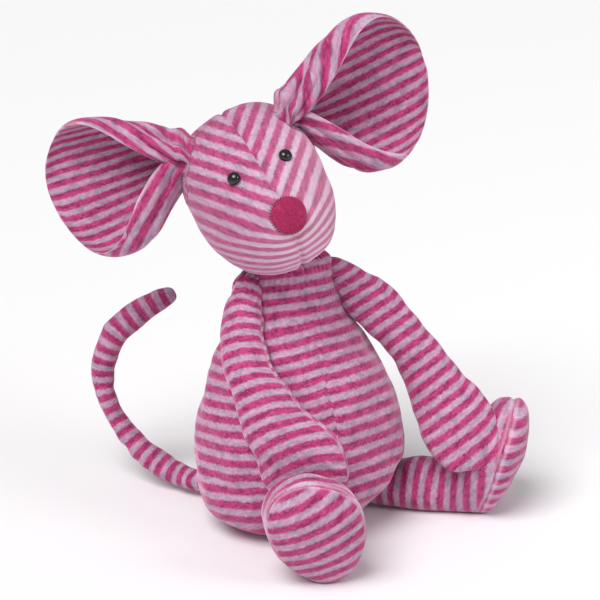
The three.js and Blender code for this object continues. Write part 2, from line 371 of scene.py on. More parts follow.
def blurred(grid, rounds):
    """The average of each place and its neighbours on the grid, taken several times. Columns run round."""
    for _ in range(rounds):
        grid = (np.roll(grid, 1, 1) + 2 * grid + np.roll(grid, -1, 1)) / 4
        above = np.concatenate([grid[:1], grid[:-1]])
        below = np.concatenate([grid[1:], grid[-1:]])
        grid = (above + 2 * grid + below) / 4
    return grid


def coarse_steps(skin):
    """The rings that a coarse copy keeps, and how many columns apart its own are."""
    along = skin.along()[:, 0]
    steps = max(CLOTH.fewest_along, int(along[-1] / CLOTH.cell))
    rows = np.unique([int(np.argmin(np.abs(along - along[-1] * k / steps))) for k in range(steps + 1)])
    around = skin.turn.shape[1]
    girth = np.linalg.norm(np.diff(skin.wide(skin.points), axis=1), axis=-1).sum(1).max()
    wanted = max(CLOTH.fewest_round, int(girth / CLOTH.cell))
    even = [k for k in range(1, around) if around % (2 * k) == 0]
    return rows, min(even, key=lambda k: abs(around / k - wanted))


def places_in(mesh):
    """A mesh's points, in millimetres."""
    places = np.empty(len(mesh.vertices) * 3)
    mesh.vertices.foreach_get("co", places)
    return places.reshape(-1, 3) / MM


def blown_up(small, held):
    """How far each point of a small skin moves as cloth that is a little too large for its seams."""
    mesh = bpy.data.meshes.new("cloth")
    mesh.from_pydata((small.vertices() * MM).tolist(), [], small.polygons())
    sheet = bpy.data.objects.new("cloth", mesh)
    bpy.context.scene.collection.objects.link(sheet)
    group = sheet.vertex_groups.new(name="held")
    for k, weight in enumerate(small.flat(held)):
        group.add([k], float(np.clip(weight, 0, 1)), "REPLACE")
    cloth = sheet.modifiers.new("cloth", "CLOTH")
    cloth.settings.quality = CLOTH.quality
    cloth.settings.mass = CLOTH.mass
    cloth.settings.bending_stiffness = CLOTH.bending
    cloth.settings.shrink_min = -CLOTH.spare
    cloth.settings.use_pressure = True
    cloth.settings.uniform_pressure_force = CLOTH.pressure
    cloth.settings.vertex_group_mass = "held"
    cloth.settings.effector_weights.gravity = 0
    cloth.collision_settings.use_collision = False
    cloth.point_cache.frame_start, cloth.point_cache.frame_end = 1, CLOTH.frames
    for frame_number in range(1, CLOTH.frames + 1):
        bpy.context.scene.frame_set(frame_number)
    ready = sheet.evaluated_get(bpy.context.evaluated_depsgraph_get()).to_mesh()
    moved = places_in(ready) - small.vertices()
    bpy.context.scene.frame_set(1)
    bpy.data.objects.remove(sheet)
    grid = np.zeros(small.points.shape)
    grid[0], grid[-1] = moved[0], moved[-1]
    grid[1:-1] = moved[1:-1].reshape(grid[1:-1].shape)
    return grid


def spread(grid, rows, every, skin):
    """A coarse skin's movement, worked out for every point of the fine one."""
    down = np.zeros((len(skin.turn), *grid.shape[1:]))
    for column, axis in np.ndindex(grid.shape[1:]):
        down[:, column, axis] = np.interp(np.arange(len(skin.turn)), rows, grid[:, column, axis])
    columns = np.arange(skin.turn.shape[1]) / every
    low, count = columns.astype(int), grid.shape[1]
    share = (columns - low)[None, :, None]
    fine = down[:, low % count] * (1 - share) + down[:, (low + 1) % count] * share
    return blurred(fine, 2 * every)


def wrinkled(skin, held, kept):
    """Gives a skin the wrinkles of its coarse copy: held is 1 where it can't move, kept is their depth."""
    rows, every = coarse_steps(skin)
    small = copy.copy(skin)
    small.turn, small.end, small.points = (a[rows][:, ::every] for a in (skin.turn, skin.end, skin.points))
    grid = blown_up(small, np.broadcast_to(held, skin.turn.shape)[rows][:, ::every])
    grid = grid - blurred(grid, CLOTH.swelling)
    length = np.linalg.norm(grid, axis=-1, keepdims=True)
    grid = kept * grid * np.minimum(1, CLOTH.deepest / np.maximum(length, 1e-6))
    fine = spread(grid, rows, every, skin)
    skin.set_points(skin.points + fine)
    length = np.linalg.norm(fine, axis=-1)
    print(f"  cloth moved {length.mean():.2f} mm on average, {length.max():.1f} mm at most")


# %% From a skin to an object


def panels_of(skin, maps, choose):
    """Each face's points, and its corners on the cloth by the map of the panel that `choose` gives it."""
    index, rows, columns = skin.faces()
    turn, end = skin.wide_turn(), skin.wide_end()
    panel = choose(turn[rows, columns].mean(1), end[rows, columns].mean(1))
    cloth = np.zeros(rows.shape + (2,))
    for number, flat in enumerate(maps):
        here = panel == number
        cloth[here] = flat[rows[here], columns[here]]
        cloth[here, :, 0] += number / MM
    return index, cloth


def sewn(name, skin, maps, choose, material):
    """The object of a skin, in metres, with its cloth map and its seams."""
    index, cloth = panels_of(skin, maps, choose)
    polygons, corners = [], []
    for face, flat in zip(index.tolist(), cloth.tolist()):
        kept = [k for k in range(4) if face[k] != face[k - 1]]
        polygons.append([face[k] for k in kept])
        corners.extend(flat[k] for k in kept)
    mesh = bpy.data.meshes.new(f"{name}_cover")
    on_floor = np.maximum(skin.vertices(), (-np.inf, -np.inf, 0))
    mesh.from_pydata((on_floor * MM).tolist(), [], polygons)
    mesh.uv_layers.new(name="cloth").data.foreach_set("uv", (np.array(corners) * MM).ravel())
    # The seam attribute carries the painted sheen along seams, the other the head's paleness and painted
    # light.
    for title, values in (("seam", skin.seam), ("paleness_and_painted_light", skin.paleness_and_painted_light)):
        mesh.attributes.new(title, "FLOAT", "POINT").data.foreach_set("value", skin.flat(values))
    mesh.polygons.foreach_set("use_smooth", [True] * len(polygons))
    mesh.materials.append(material)
    made = bpy.data.objects.new(f"{name}_cover", mesh)
    bpy.context.scene.collection.objects.link(made)
    low, high = skin.box()
    print(f"{name}: {len(polygons)} faces, {(high - low).round(1).tolist()} mm")
    return made


STRAIGHT = (0, 0, 0)
JOINED = Sizes(low=0.2, high=0.8)


def across_stripes(first, second, lay):
    """How far across the stripes a point lies, from two of its measures: a slope for each, and soft bends."""
    a, b = first - lay.middle[0], second - lay.middle[1]
    straight = lay.shift + lay.slope[0] * a + lay.slope[1] * b
    return straight + lay.bend[0] * a * a + lay.bend[1] * a * b + lay.bend[2] * b * b


def meeting(stripe, other, share):
    """Passes from one way of lying to another by share, after whole repeats that bring them closest."""
    between = (share > JOINED.low) & (share < JOINED.high)
    apart = np.median((other - stripe)[between]) / (STRIPE_REPEAT / MM)
    return mix(stripe, other - STRIPE_REPEAT / MM * np.round(apart), share)


def sliced_map(skin, across_from, lay):
    """Stripes cut through the piece as slices: the second measure of the map is taken in space."""
    skin = skin.marked()
    x, y, z = np.moveaxis(skin.wide(skin.points), -1, 0)
    if "rim" in vars(lay):
        y = np.minimum(y, y.mean(1, keepdims=True) - lay.rim)
    stripe = across_stripes(x, z, lay) + lay.depth * (y - lay.front)
    return np.stack([skin.round_from(across_from), stripe], -1)


def slipped_map(skin, across_from, lay):
    """Stripes run round the limb, but slip and lean a little from one station to the next."""
    skin = skin.marked()
    across = skin.round_from(across_from)
    along = np.broadcast_to(skin.along(), across.shape)
    share = along / lay.reach
    stripe = along + smooth(lay.slips, share) + smooth(lay.leans, share) * across + lay.bow * across**2
    return np.stack([across, stripe], -1)


def ringed_map(skin, across_from, lay):
    """Stripes run round the piece, across its length."""
    skin = skin.marked()
    across = skin.round_from(across_from)
    along = np.broadcast_to(skin.along(), across.shape)
    return np.stack([across, across_stripes(across, along, lay)], -1)


# %% [markdown]
# ## Shader maths
# Blender's shader maths is made of nodes. Wiring dozens by hand hides the formula, so one small class
# wraps a socket and lets an expression such as `1 - mask` add the nodes itself.

# %% Sockets that read as numbers


class Value:
    """A number that varies over the surface: one output socket of a finish."""

    def __init__(self, finish, socket):
        self.finish, self.socket = finish, socket

    def math(self, operation, *others):
        """One Math node."""
        sockets = dict(enumerate((self, *others)))
        return self.finish.node("ShaderNodeMath", {"operation": operation}, sockets)

    def __add__(self, other):
        return self.math("ADD", other)

    __radd__ = __add__

    def __sub__(self, other):
        return self.math("SUBTRACT", other)

    def __rsub__(self, other):
        return self.finish.number(other).math("SUBTRACT", self)

    def __mul__(self, other):
        return self.math("MULTIPLY", other)

    __rmul__ = __mul__

    def __truediv__(self, other):
        return self.math("DIVIDE", other)

    def __rtruediv__(self, other):
        return self.finish.number(other).math("DIVIDE", self)

    def smoothly(self, low, high):
        """0 under low, 1 over high and smooth between."""
        settings = {"interpolation_type": "SMOOTHSTEP"}
        return self.finish.node("ShaderNodeMapRange", settings, {0: self, 1: low, 2: high})


class Wiring:
    """A node tree, and the ways to add nodes to it."""

    def __init__(self, tree):
        self.nodes, self.links = tree.nodes, tree.links

    def node(self, kind, settings=None, sockets=None, output=0):
        """Adds a node: its settings first, then the values or links of its sockets."""
        made = self.nodes.new(kind)
        for key, value in (settings or {}).items():
            setattr(made, key, value)
        for key, value in (sockets or {}).items():
            self.feed(made.inputs[key], value)
        return Value(self, made.outputs[output])

    def feed(self, socket, value):
        if isinstance(value, Value):
            self.links.new(value.socket, socket)
        elif isinstance(value, (tuple, list)) and len(value) == 3 and socket.type == "RGBA":
            socket.default_value = (*value, 1)
        else:
            socket.default_value = value

    def number(self, value):
        return self.node("ShaderNodeMath", {"operation": "ADD"}, {0: value, 1: 0.0})

    def vectors(self, operation, *parts):
        """One Vector Math node."""
        return self.node("ShaderNodeVectorMath", {"operation": operation}, dict(enumerate(parts)))

    def noise(self, place, size, detail=2.0, roughness=0.5):
        """Smooth unevenness from 0 to 1 with features about `size` metres across."""
        sockets = {"Vector": place, "Scale": 1 / size, "Detail": detail, "Roughness": roughness}
        return self.node("ShaderNodeTexNoise", None, sockets)


class Finish(Wiring):
    """A material's nodes."""

    def __init__(self, name):
        self.material = bpy.data.materials.new(name)
        self.material.use_nodes = True
        super().__init__(self.material.node_tree)
        self.shader = self.nodes["Principled BSDF"]

    def colours(self, share, first, second):
        """A Mix node between two colours."""
        settings = {"data_type": "RGBA", "clamp_factor": True}
        return self.node("ShaderNodeMix", settings, {0: share, 6: first, 7: second}, output=2)

    def surface(self, **sockets):
        """Feeds the shader: names have an underscore where the socket's name has a space."""
        for key, value in sockets.items():
            self.feed(self.shader.inputs[key.replace("_", " ")], value)
        return self

    def raised(self, height, depth, strength=1.0):
        """A Bump node: height from 0 to 1 stands `depth` metres high."""
        sockets = {"Height": height, "Distance": depth, "Strength": strength}
        return self.node("ShaderNodeBump", None, sockets)


def linear(*levels):
    """A colour of red, green and blue from 0 to 255, as the shader counts it."""
    shares = (level / 255 for level in levels)
    return tuple(v / 12.92 if v <= 0.04045 else ((v + 0.055) / 1.055) ** 2.4 for v in shares)


# %% [markdown]
# ## Recipes
# A shape that follows a path, or a stitch that repeats along a seam, is a recipe: a Geometry Nodes tree
# with named sizes. The tree could be drawn in the editor, but built here it shows what each size does.

# %% Geometry Nodes recipes


class Recipe(Wiring):
    """A Geometry Nodes tree. Each size is one of its named inputs."""

    def __init__(self, title, **sizes):
        self.group = bpy.data.node_groups.new(title, "GeometryNodeTree")
        super().__init__(self.group)
        self.sizes = sizes
        for side in ("INPUT", "OUTPUT"):
            self.group.interface.new_socket("Geometry", in_out=side, socket_type="NodeSocketGeometry")
        for key, value in sizes.items():
            kind = "NodeSocketInt" if isinstance(value, int) else "NodeSocketFloat"
            self.group.interface.new_socket(key.replace("_", " "), in_out="INPUT", socket_type=kind)
        self.entry = self.nodes.new("NodeGroupInput")
        self.route = Value(self, self.entry.outputs[0])

    def size(self, key):
        return Value(self, self.entry.outputs[key.replace("_", " ")])

    def named(self, title, kind="FLOAT"):
        """An attribute that the start mesh carries."""
        return self.node("GeometryNodeInputNamedAttribute", {"data_type": kind}, {"Name": title})

    def vector(self, *parts):
        return self.node("ShaderNodeCombineXYZ", None, dict(enumerate(parts)))

    def scaled(self, vector, by):
        return self.node("ShaderNodeVectorMath", {"operation": "SCALE"}, {"Vector": vector, "Scale": by})

    def made(self, name, start, geometry, material):
        """Ends the tree, runs it on the start mesh and leaves a plain mesh."""
        smooth_faces = self.node("GeometryNodeSetShadeSmooth", None, {"Geometry": geometry})
        whole = self.node("GeometryNodeRealizeInstances", None, {"Geometry": smooth_faces})
        painted = self.node("GeometryNodeSetMaterial", None, {"Geometry": whole, "Material": material})
        self.feed(self.nodes.new("NodeGroupOutput").inputs[0], painted)
        made = bpy.data.objects.new(name, start)
        bpy.context.scene.collection.objects.link(made)
        modifier = made.modifiers.new("recipe", "NODES")
        modifier.node_group = self.group
        for item in self.group.interface.items_tree:
            key = item.name.replace(" ", "_")
            if item.in_out == "INPUT" and key in self.sizes:
                modifier[item.identifier] = self.sizes[key]
        ready = made.evaluated_get(bpy.context.evaluated_depsgraph_get())
        plain = bpy.data.meshes.new_from_object(ready)
        made.modifiers.remove(modifier)
        made.data = plain
        print(f"{name}: {len(plain.polygons)} faces from the recipe {self.group.name!r}")
        return made


def path_mesh(points, closed=False, **values):
    """The start of a recipe: points in millimetres joined by edges, with a value or a vector at each."""
    mesh = bpy.data.meshes.new("path")
    count = len(points)
    edges = [(k, (k + 1) % count) for k in range(count if closed else count - 1)]
    mesh.from_pydata((np.asarray(points) * MM).tolist(), edges, [])
    for title, amounts in values.items():
        amounts = np.asarray(amounts, float)
        kind, slot = ("FLOAT_VECTOR", "vector") if amounts.ndim == 2 else ("FLOAT", "value")
        mesh.attributes.new(title, kind, "POINT").data.foreach_set(slot, amounts.ravel())
    return mesh


# %% [markdown]
# ## Striped velour
# Velour is a knit whose face is a dense short pile. Pink rows and lilac-grey rows alternate, a little
# over three millimetres each. The grey is a heather, in which fibres of blue-grey and pink are spun
# together. An image could carry all this, but bands and noise on the cloth map give the same at any
# scale. The pile scatters light towards grazing angles, which is what the sheen of the shader is for.
# Along the seams a painted sheen, and on the head painted light with some paleness, lighten the colour
# towards a pale pink.

# %% Striped velour
STRIPE_REPEAT = 6.3 * MM
# The palest pink is painted over the cloth as painted sheen along seams and as painted light on the head.
VELOUR = Sizes(
    pink=linear(190, 68, 124), deep_pink=linear(138, 38, 88), grey=linear(194, 158, 182),
    blue_grey=linear(150, 138, 162), rose_fleck=linear(204, 108, 152), pale_fleck=linear(208, 188, 206),
    brushed=linear(255, 224, 242), sheen_tint=linear(255, 196, 226), pink_share=0.54, soft_edge=0.2,
    wander=0.3, seam_paleness=0.25,
)
KNIT = Sizes(
    wander=((1, 1, 0), 1.8, 3, 0.5), fibres=((0.7, 1, 0), 0.8, 3, 0.65), flecks=((0.5, 1, 0), 1.3, 2, 0.6),
    clouds=((0.6, 1, 1), 3.2, 2, 0.6), pile=0.45, wale=1.1, height=0.45,
)


def striped_velour():
    """Stripes across the second coordinate of the cloth map."""
    cloth = Finish("striped velour")
    place = cloth.node("ShaderNodeUVMap", {"uv_map": "cloth"})
    split = cloth.node("ShaderNodeSeparateXYZ", None, {0: place})
    across = Value(cloth, split.socket.node.outputs[1])

    def grain(stretch, size, detail, roughness):
        return cloth.noise(cloth.vectors("MULTIPLY", place, stretch), size * MM, detail, roughness)

    def flecked(colour, where, share, fleck):
        return cloth.colours(where * share, colour, fleck)

    phase = across / STRIPE_REPEAT + (grain(*KNIT.wander) - 0.5) * VELOUR.wander
    band = ((phase.math("FRACT") - 0.5).math("ABSOLUTE")) * 2
    edge = 1 - VELOUR.pink_share
    grey = 1 - band.smoothly(edge - VELOUR.soft_edge, edge + VELOUR.soft_edge)
    fibres, flecks, clouds = grain(*KNIT.fibres), grain(*KNIT.flecks), grain(*KNIT.clouds)
    spun = (fibres * 0.4 + clouds * 0.6).smoothly(0.38, 0.58)
    heather = cloth.colours(spun, VELOUR.blue_grey, VELOUR.grey)
    heather = flecked(heather, flecks.smoothly(0.50, 0.66), 0.6, VELOUR.rose_fleck)
    heather = flecked(heather, (1 - flecks).smoothly(0.56, 0.70), 0.5, VELOUR.pale_fleck)
    dyed = (fibres * 0.5 + clouds * 0.5).smoothly(0.38, 0.60)
    pink = cloth.colours(dyed, VELOUR.deep_pink, VELOUR.pink)
    pink = flecked(pink, flecks.smoothly(0.56, 0.72), 0.5, VELOUR.rose_fleck)
    colour = cloth.colours(grey, pink, heather)
    # Painted light: the head's painted light, with its paleness, and the painted sheen along seams mix the
    # colour towards the palest pink, greys more than pinks.
    paleness_and_painted_light = cloth.node("ShaderNodeAttribute", {"attribute_name": "paleness_and_painted_light"}, output=2)
    seam = cloth.node("ShaderNodeAttribute", {"attribute_name": "seam"}, output=2)
    pale = (paleness_and_painted_light * (grey * 0.9 + 0.5)).math("MAXIMUM", seam * VELOUR.seam_paleness)
    colour = cloth.colours(pale, colour, VELOUR.brushed)
    pile = cloth.noise(place, KNIT.pile * MM, 3, 0.65)
    wales = ((Value(cloth, split.socket) * (2 * math.pi / (KNIT.wale * MM))).math("SINE") + 1) * 0.5
    height = pile * 0.6 + wales * 0.15 + clouds * 0.6
    cloth.surface(Base_Color=colour, Roughness=0.92, Specular_IOR_Level=0.25)
    cloth.surface(Sheen_Weight=0.85, Sheen_Roughness=0.35, Sheen_Tint=VELOUR.sheen_tint)
    cloth.surface(Normal=cloth.raised(height, KNIT.height * MM, 0.6))
    return cloth.material


velour = striped_velour()

# %% [markdown]
# ## Body
# The body is a pear: a round neck, a wide belly, and a seat that its stuffing flattens on the floor. Two
# side panels meet in a seam down the middle of the front and one down the back.

# %% Body shape
BODY = Sizes(
    height=131, belly=48.1, belly_height=33, neck=19.4, neck_height=129, depth_share=0.93, twist=33,
    belly_at=(7.2, 4.1), neck_at=(1.7, 4.1), taper=1.11, neck_round=6, sag=2.2, front_seam=-98,
    lumps=((0.9, 22), (0.35, 9)), stands_over=10, held_under=6, held_from=116, held_over=8, wrinkles=0.45,
)


def body_at(turn, end):
    z = station_of(end) * (BODY.height + BODY.sag) - BODY.sag
    share = np.clip((z - BODY.belly_height) / (BODY.neck_height - BODY.belly_height), 0, 1)
    half = mix(BODY.neck, BODY.belly, (1 + np.cos(np.pi * share**BODY.taper)) / 2)
    low = np.minimum(1, (z + BODY.sag) / (BODY.belly_height + BODY.sag))
    high = np.maximum(0, 1 - (BODY.height - z) / BODY.neck_round)
    r = half * oval(1 - low, 2) * oval(high, 2)
    u = r * np.cos(turn)
    v = r * mix(BODY.depth_share, 1, share) * np.sin(turn)
    risen, upper, wide = ease(z / BODY.belly_height), ease(share), math.radians(BODY.twist)
    x = mix(BODY.belly_at[0] * risen, BODY.neck_at[0], upper)
    y = mix(BODY.belly_at[1] * risen, BODY.neck_at[1], upper)
    across = x + u * math.cos(wide) - v * math.sin(wide)
    return np.stack([across, y + u * math.sin(wide) + v * math.cos(wide), np.maximum(0, z)], -1)


front = math.radians(BODY.front_seam)
body = Skin(body_at, around=300, rings=190, first=front)
print("body skin volume, litres:", round(abs(body.volume()) / 1e6, 3))

# %% Body seams and stuffing
# The last size is the width of the band of painted sheen along ear and arm seams.
SEAM = Sizes(depth=0.6, width=1.0, ridge=0.25, ridge_at=2.6, ridge_width=2.0, held=1.5, brushed=0.9)
NECK = Sizes(gathers=44, height=0.28, starts=104, over=22, sway=2.2, sway_size=14)


def seam_groove(distance, depth=SEAM.depth):
    """A seam pulls the cloth in, and the cloth stands a little proud on both sides."""
    return SEAM.ridge * bell(distance - SEAM.ridge_at, SEAM.ridge_width) - depth * bell(distance, SEAM.width)


def from_seams(skin, *lines):
    """How far each point lies from the nearest of the lines that run down the piece at these turns."""
    return np.min([np.abs(skin.round_from(line)) for line in lines], 0)[:, :-1]


def sink_seam(skin, *lines, depth=SEAM.depth):
    for line in lines:
        skin.push(seam_groove(from_seams(skin, line), depth))


def off_floor(skin, over):
    """0 on the floor and 1 from `over` millimetres up, because what rests on the floor stays flat."""
    return ease((skin.points[..., 2] - 1) / over)


body_seams = (front, front + np.pi)
body.push(off_floor(body, BODY.stands_over) * uneven(body.points, 1, BODY.lumps))
body.mark()
body_height = body.points[..., 2]
on_body = np.maximum(bell(from_seams(body, *body_seams), SEAM.held), 1 - ease(body_height / BODY.held_under))
wrinkled(body, np.maximum(on_body, ease((body_height - BODY.held_from) / BODY.held_over)), BODY.wrinkles)
sink_seam(body, *body_seams)
near_neck = ease((body.points[..., 2] - NECK.starts) / NECK.over)
neck_sway = NECK.sway * lumps(body.points, NECK.sway_size, 5)
body.push(NECK.height * near_neck * np.sin(NECK.gathers * body.turn + neck_sway))
print("body skin after seams, mm:", [corner.round(1).tolist() for corner in body.box()])

# %% [markdown]
# ## Head
# An egg lies on its side with the small end for a snout. Two side panels meet in a seam over the brow,
# which runs from the nose to the back, and under the chin.

# %% Head shape
HEAD = Sizes(
    centre=(-11.2, 3.4, 157.5), back=32, snout=48.2, half_width=30.2, half_height=36.5, jaw_narrowing=0.05,
    squareness=2.5, snout_drop=12, drop_curve=1.5, roll=22.5, pitch=11.3, yaw=15.8,
    lumps=((0.55, 18), (0.2, 7)), seam_depth=1.0,
)


def turned(axis, degrees):
    """A rotation about axis 0, 1 or 2."""
    c, s = math.cos(math.radians(degrees)), math.sin(math.radians(degrees))
    matrix = np.eye(3)
    a, b = [(1, 2), (2, 0), (0, 1)][axis]
    matrix[a, a], matrix[a, b], matrix[b, a], matrix[b, b] = c, -s, s, c
    return matrix


head_turn = turned(1, -HEAD.roll) @ turned(2, HEAD.yaw) @ turned(0, -HEAD.pitch)


def on_head(x, forward, z):
    x, forward, z = np.broadcast_arrays(x, forward, z)
    return np.stack([x, -forward, z], -1) @ head_turn.T + np.array(HEAD.centre)


def in_head(points):
    """The other way: x, forward and z on the head."""
    local = (points - np.array(HEAD.centre)) @ head_turn
    return local[..., 0], -local[..., 1], local[..., 2]


def dropped(forward):
    """How far the head's middle line has sunk on the way to the snout."""
    return HEAD.snout_drop * (np.maximum(0, forward) / HEAD.snout) ** HEAD.drop_curve


def head_at(turn, forward):
    """The head's surface, turn round from the crown and forward from its centre."""
    share = oval(forward / np.where(forward < 0, HEAD.back, HEAD.snout), 2)
    tall = squared(np.cos(turn), HEAD.squareness)
    wide = HEAD.half_width * share * (1 + HEAD.jaw_narrowing * tall)
    aside = wide * squared(np.sin(turn), HEAD.squareness)
    return on_head(aside, forward, HEAD.half_height * share * tall - dropped(forward))


def head_skin_at(turn, end):
    return head_at(turn, mix(-HEAD.back, HEAD.snout, station_of(end)))


head = Skin(head_skin_at, around=300, rings=200)
head.push(uneven(head.points, 3, HEAD.lumps))
sink_seam(head, 0.0, np.pi, depth=HEAD.seam_depth)
print("head skin, mm:", [corner.round(1).tolist() for corner in head.box()])

# %% Where the eyes are, and the dents that their thread pulls
EYE = Sizes(
    radius=2.9, thickness=4.4, right=(37.7, -33.4), left=(38.3, 33.2), dent=1.0, dent_width=4.2,
    probe=(0.02, 0.5),
)


def eye_seat(forward, degrees_round):
    """The middle of an eye and the way it faces."""
    turn = math.radians(degrees_round)
    centre = head_at(np.array(turn), np.array(forward))
    round_by = head_at(np.array(turn + EYE.probe[0]), np.array(forward)) - centre
    forward_by = head_at(np.array(turn), np.array(forward + EYE.probe[1])) - centre
    return centre, unit(np.cross(forward_by, round_by))


seats = {"right": eye_seat(*EYE.right), "left": eye_seat(*EYE.left)}
for centre, _ in seats.values():
    head.push(-EYE.dent * bell(np.linalg.norm(head.points - centre, axis=-1), EYE.dent_width))

# %% Head panels
HEAD_RIGHT_LAY = Sizes(
    shift=3.6, outward=0.724, down=0.77, ahead=-0.05,
    under=Sizes(shift=7.0, outward=-0.545, down=0.244, round_snout=-0.471),
)
HEAD_LEFT_LAY = Sizes(
    shift=1.0, outward=0.717, down=0.746, ahead=0.136,
    under=Sizes(shift=-0.2, outward=-0.478, down=0.514, round_snout=-0.398),
)
UNDER = Sizes(starts=60, ends=180, snout_ring=90, chin=12, closer=0.4, flow=(0.5, 0.85))
# Painted light brightens the mouse's left cheek and the underside of its chin; the whole head is also a
# little paler all over.
HEAD_PALENESS_AND_PAINTED_LIGHT = Sizes(all_over=0.05, cheek=0.2, cheek_over=30, cheek_from=0.6, chin=0.12, chin_under=8, chin_over=15)


def head_map(lay):
    """Stripes rise away from the middle seam over the brow, and run round under the snout like a smile."""
    x, forward, z = in_head(head.wide(head.points))
    x = np.abs(x)
    from_crown = np.degrees(np.arctan2(x, z + dropped(forward)))
    share = ease((from_crown - UNDER.starts) / (UNDER.ends - UNDER.starts))
    along = np.broadcast_to(head.along(), x.shape)
    brow = lay.shift + lay.outward * x - lay.down * z + lay.ahead * forward
    under = lay.under
    chin = under.shift + under.outward * x - under.down * z + under.round_snout * (along - UNDER.snout_ring)
    chin = share * chin + UNDER.closer * np.maximum(0, -z - UNDER.chin)
    flow = along * UNDER.flow[0] - np.abs(head.round_from(0.0)) * UNDER.flow[1]
    return np.stack([flow, brow + chin], -1)


def head_side(turn, end):
    """0 is the mouse's right side and 1 its left."""
    return (np.sin(turn) > 0).astype(int)


# Painted light on the left cheek and under the chin, and a little paleness all over the head.
painted_light_on_left_cheek = ease(head.points[..., 0] / HEAD_PALENESS_AND_PAINTED_LIGHT.cheek_over + HEAD_PALENESS_AND_PAINTED_LIGHT.cheek_from)
painted_light_under_chin = ease((-in_head(head.points)[2] - HEAD_PALENESS_AND_PAINTED_LIGHT.chin_under) / HEAD_PALENESS_AND_PAINTED_LIGHT.chin_over)
head.paleness_and_painted_light = HEAD_PALENESS_AND_PAINTED_LIGHT.all_over + HEAD_PALENESS_AND_PAINTED_LIGHT.cheek * painted_light_on_left_cheek + HEAD_PALENESS_AND_PAINTED_LIGHT.chin * painted_light_under_chin
press(body, head)
head_piece = sewn("head", head, [head_map(HEAD_RIGHT_LAY), head_map(HEAD_LEFT_LAY)], head_side, velour)


# %% Body panels
BODY_LEFT_LAY = Sizes(
    middle=(32, 72), front=-17, shift=1.64, slope=(0.216, -0.941), depth=-0.291, bend=(0.0012, 0, -0.0011),
)
BODY_RIGHT_LAY = Sizes(
    middle=(-11, 67), front=-25, shift=0.57, slope=(0.141, -0.997), depth=-0.227,
    bend=(0.0027, 0.0011, -0.0012),
)
PANELS_MEET = Sizes(starts=96, over=12)


def belly_side(turn, end):
    """0 runs from the front seam to the mouse's left."""
    return ((turn - front) % (2 * np.pi) > np.pi).astype(int)


body_maps = [sliced_map(body, front, BODY_LEFT_LAY), sliced_map(body, front, BODY_RIGHT_LAY)]
at_neck = ease((body.wide(body.points)[..., 2] - PANELS_MEET.starts) / PANELS_MEET.over)
body_maps[1][..., 1] = meeting(body_maps[1][..., 1], body_maps[0][..., 1], at_neck)
body_piece = sewn("body", body, body_maps, belly_side, velour)

# %% [markdown]
# ## Ears
# An ear is a broad oval, cut twice and sewn round its edge. Gathering it at the head makes both of its
# edges curl forward, most at the root. A surface of revolution has no such fold, so each station along
# the ear is a section of flat cloth that is rolled up more and more towards its edge.

# %% Ear sizes
EAR = Sizes(
    flap_from=0.42, flap_over=0.3, thickness=4.6, sewn_in=0.3, bend_within=0.12, edge_roll=2.2,
    root_roll=1.25, thin_under=12, faces=(0, -1, 0.3), lumps=((0.35, 15), (0.12, 6)),
)
FOLD = Sizes(
    count=7, height=4.2, reach=0.3, middle=0.75, sharpness=0.7, crowding=(0.12, 4.3, 1.1), lean=1.4,
    edge_fade=6, stripe_pull=3.0, pull_width=0.8, pull_lean=5,
)
CREASE = Sizes(
    starts_over=0.12, ends_over=0.2, sway=(0.08, 7), width=1.5, lip=0.45, lip_at=3.6, lip_width=2.0,
)
LEFT_EAR = Sizes(
    root=(1.4, 9, 191.6), angle=19.2, back=20, turn=-17.9, length=63.5, cup=11, twist=-2.4,
    top=Sizes(at_root=34, half_width=49.8, widest_at=0.5, tip_power=1.72, curl=(246, 98), opening=1.6),
    low=Sizes(at_root=25, half_width=64.3, widest_at=0.255, tip_power=1.51, curl=(274, 100), opening=1.95),
    lay=Sizes(middle=(41, -7), shift=2.15, slope=(-0.13, 1.09), bend=(-0.001, -0.0015, 0.0025)),
    top_lay=Sizes(middle=(30, 40), shift=4.33, slope=(0.255, 0.547), bend=STRAIGHT),
    low_lay=Sizes(middle=(29, 185), front=-5, shift=0, slope=(0.28, 0.94), depth=0.34, bend=STRAIGHT),
    creases=(
        (-0.5, 0.1, 0.5, 1.6), (0.3, 0.02, 0.4, 1.4), (0.8, 0.05, 0.45, -1.6), (-0.85, 0.05, 0.4, -1.6),
    ),
)
RIGHT_EAR = Sizes(
    root=(-42.4, 6, 172.6), angle=197.4, back=6.9, turn=-4.7, length=61.4, cup=11, twist=5.6,
    top=Sizes(at_root=39.6, half_width=41.7, widest_at=0.42, tip_power=1.72, curl=(275, 59), opening=1.74),
    low=Sizes(at_root=30.7, half_width=59.5, widest_at=0.39, tip_power=1.5, curl=(266, 85), opening=1.34),
    lay=Sizes(middle=(41, -3), shift=5.12, slope=(0.063, 1.187), bend=(-0.0015, -0.0067, 0.0041)),
    top_lay=Sizes(middle=(30, 40), shift=2.3, slope=(0.1, 0.9), bend=STRAIGHT),
    low_lay=Sizes(middle=(-61, 157.5), front=-25, shift=0, slope=(0.92, -0.5), depth=-0.18, bend=STRAIGHT),
    creases=(
        (0.8, 0.08, 0.42, -3.2), (0.62, 0.0, 0.3, -2.0), (0.1, 0.1, 0.5, 1.4), (-0.35, 0.15, 0.6, 2.2),
        (-0.82, 0.0, 0.4, -2.2),
    ),
)

# %% Ear shape


def ear_half(edge, t):
    """The flat cloth's half-width, from the middle line to one edge."""
    root = edge.at_root * oval(np.clip(t / EAR.sewn_in, -1, 0), 3)
    widening = mix(edge.at_root, edge.half_width, np.sin(np.pi / 2 * np.clip(t / edge.widest_at, 0, 1)))
    tip = edge.half_width * oval(np.clip((t - edge.widest_at) / (1 - edge.widest_at), 0, 1), edge.tip_power)
    return np.where(t < 0, root, np.where(t < edge.widest_at, widening, tip))


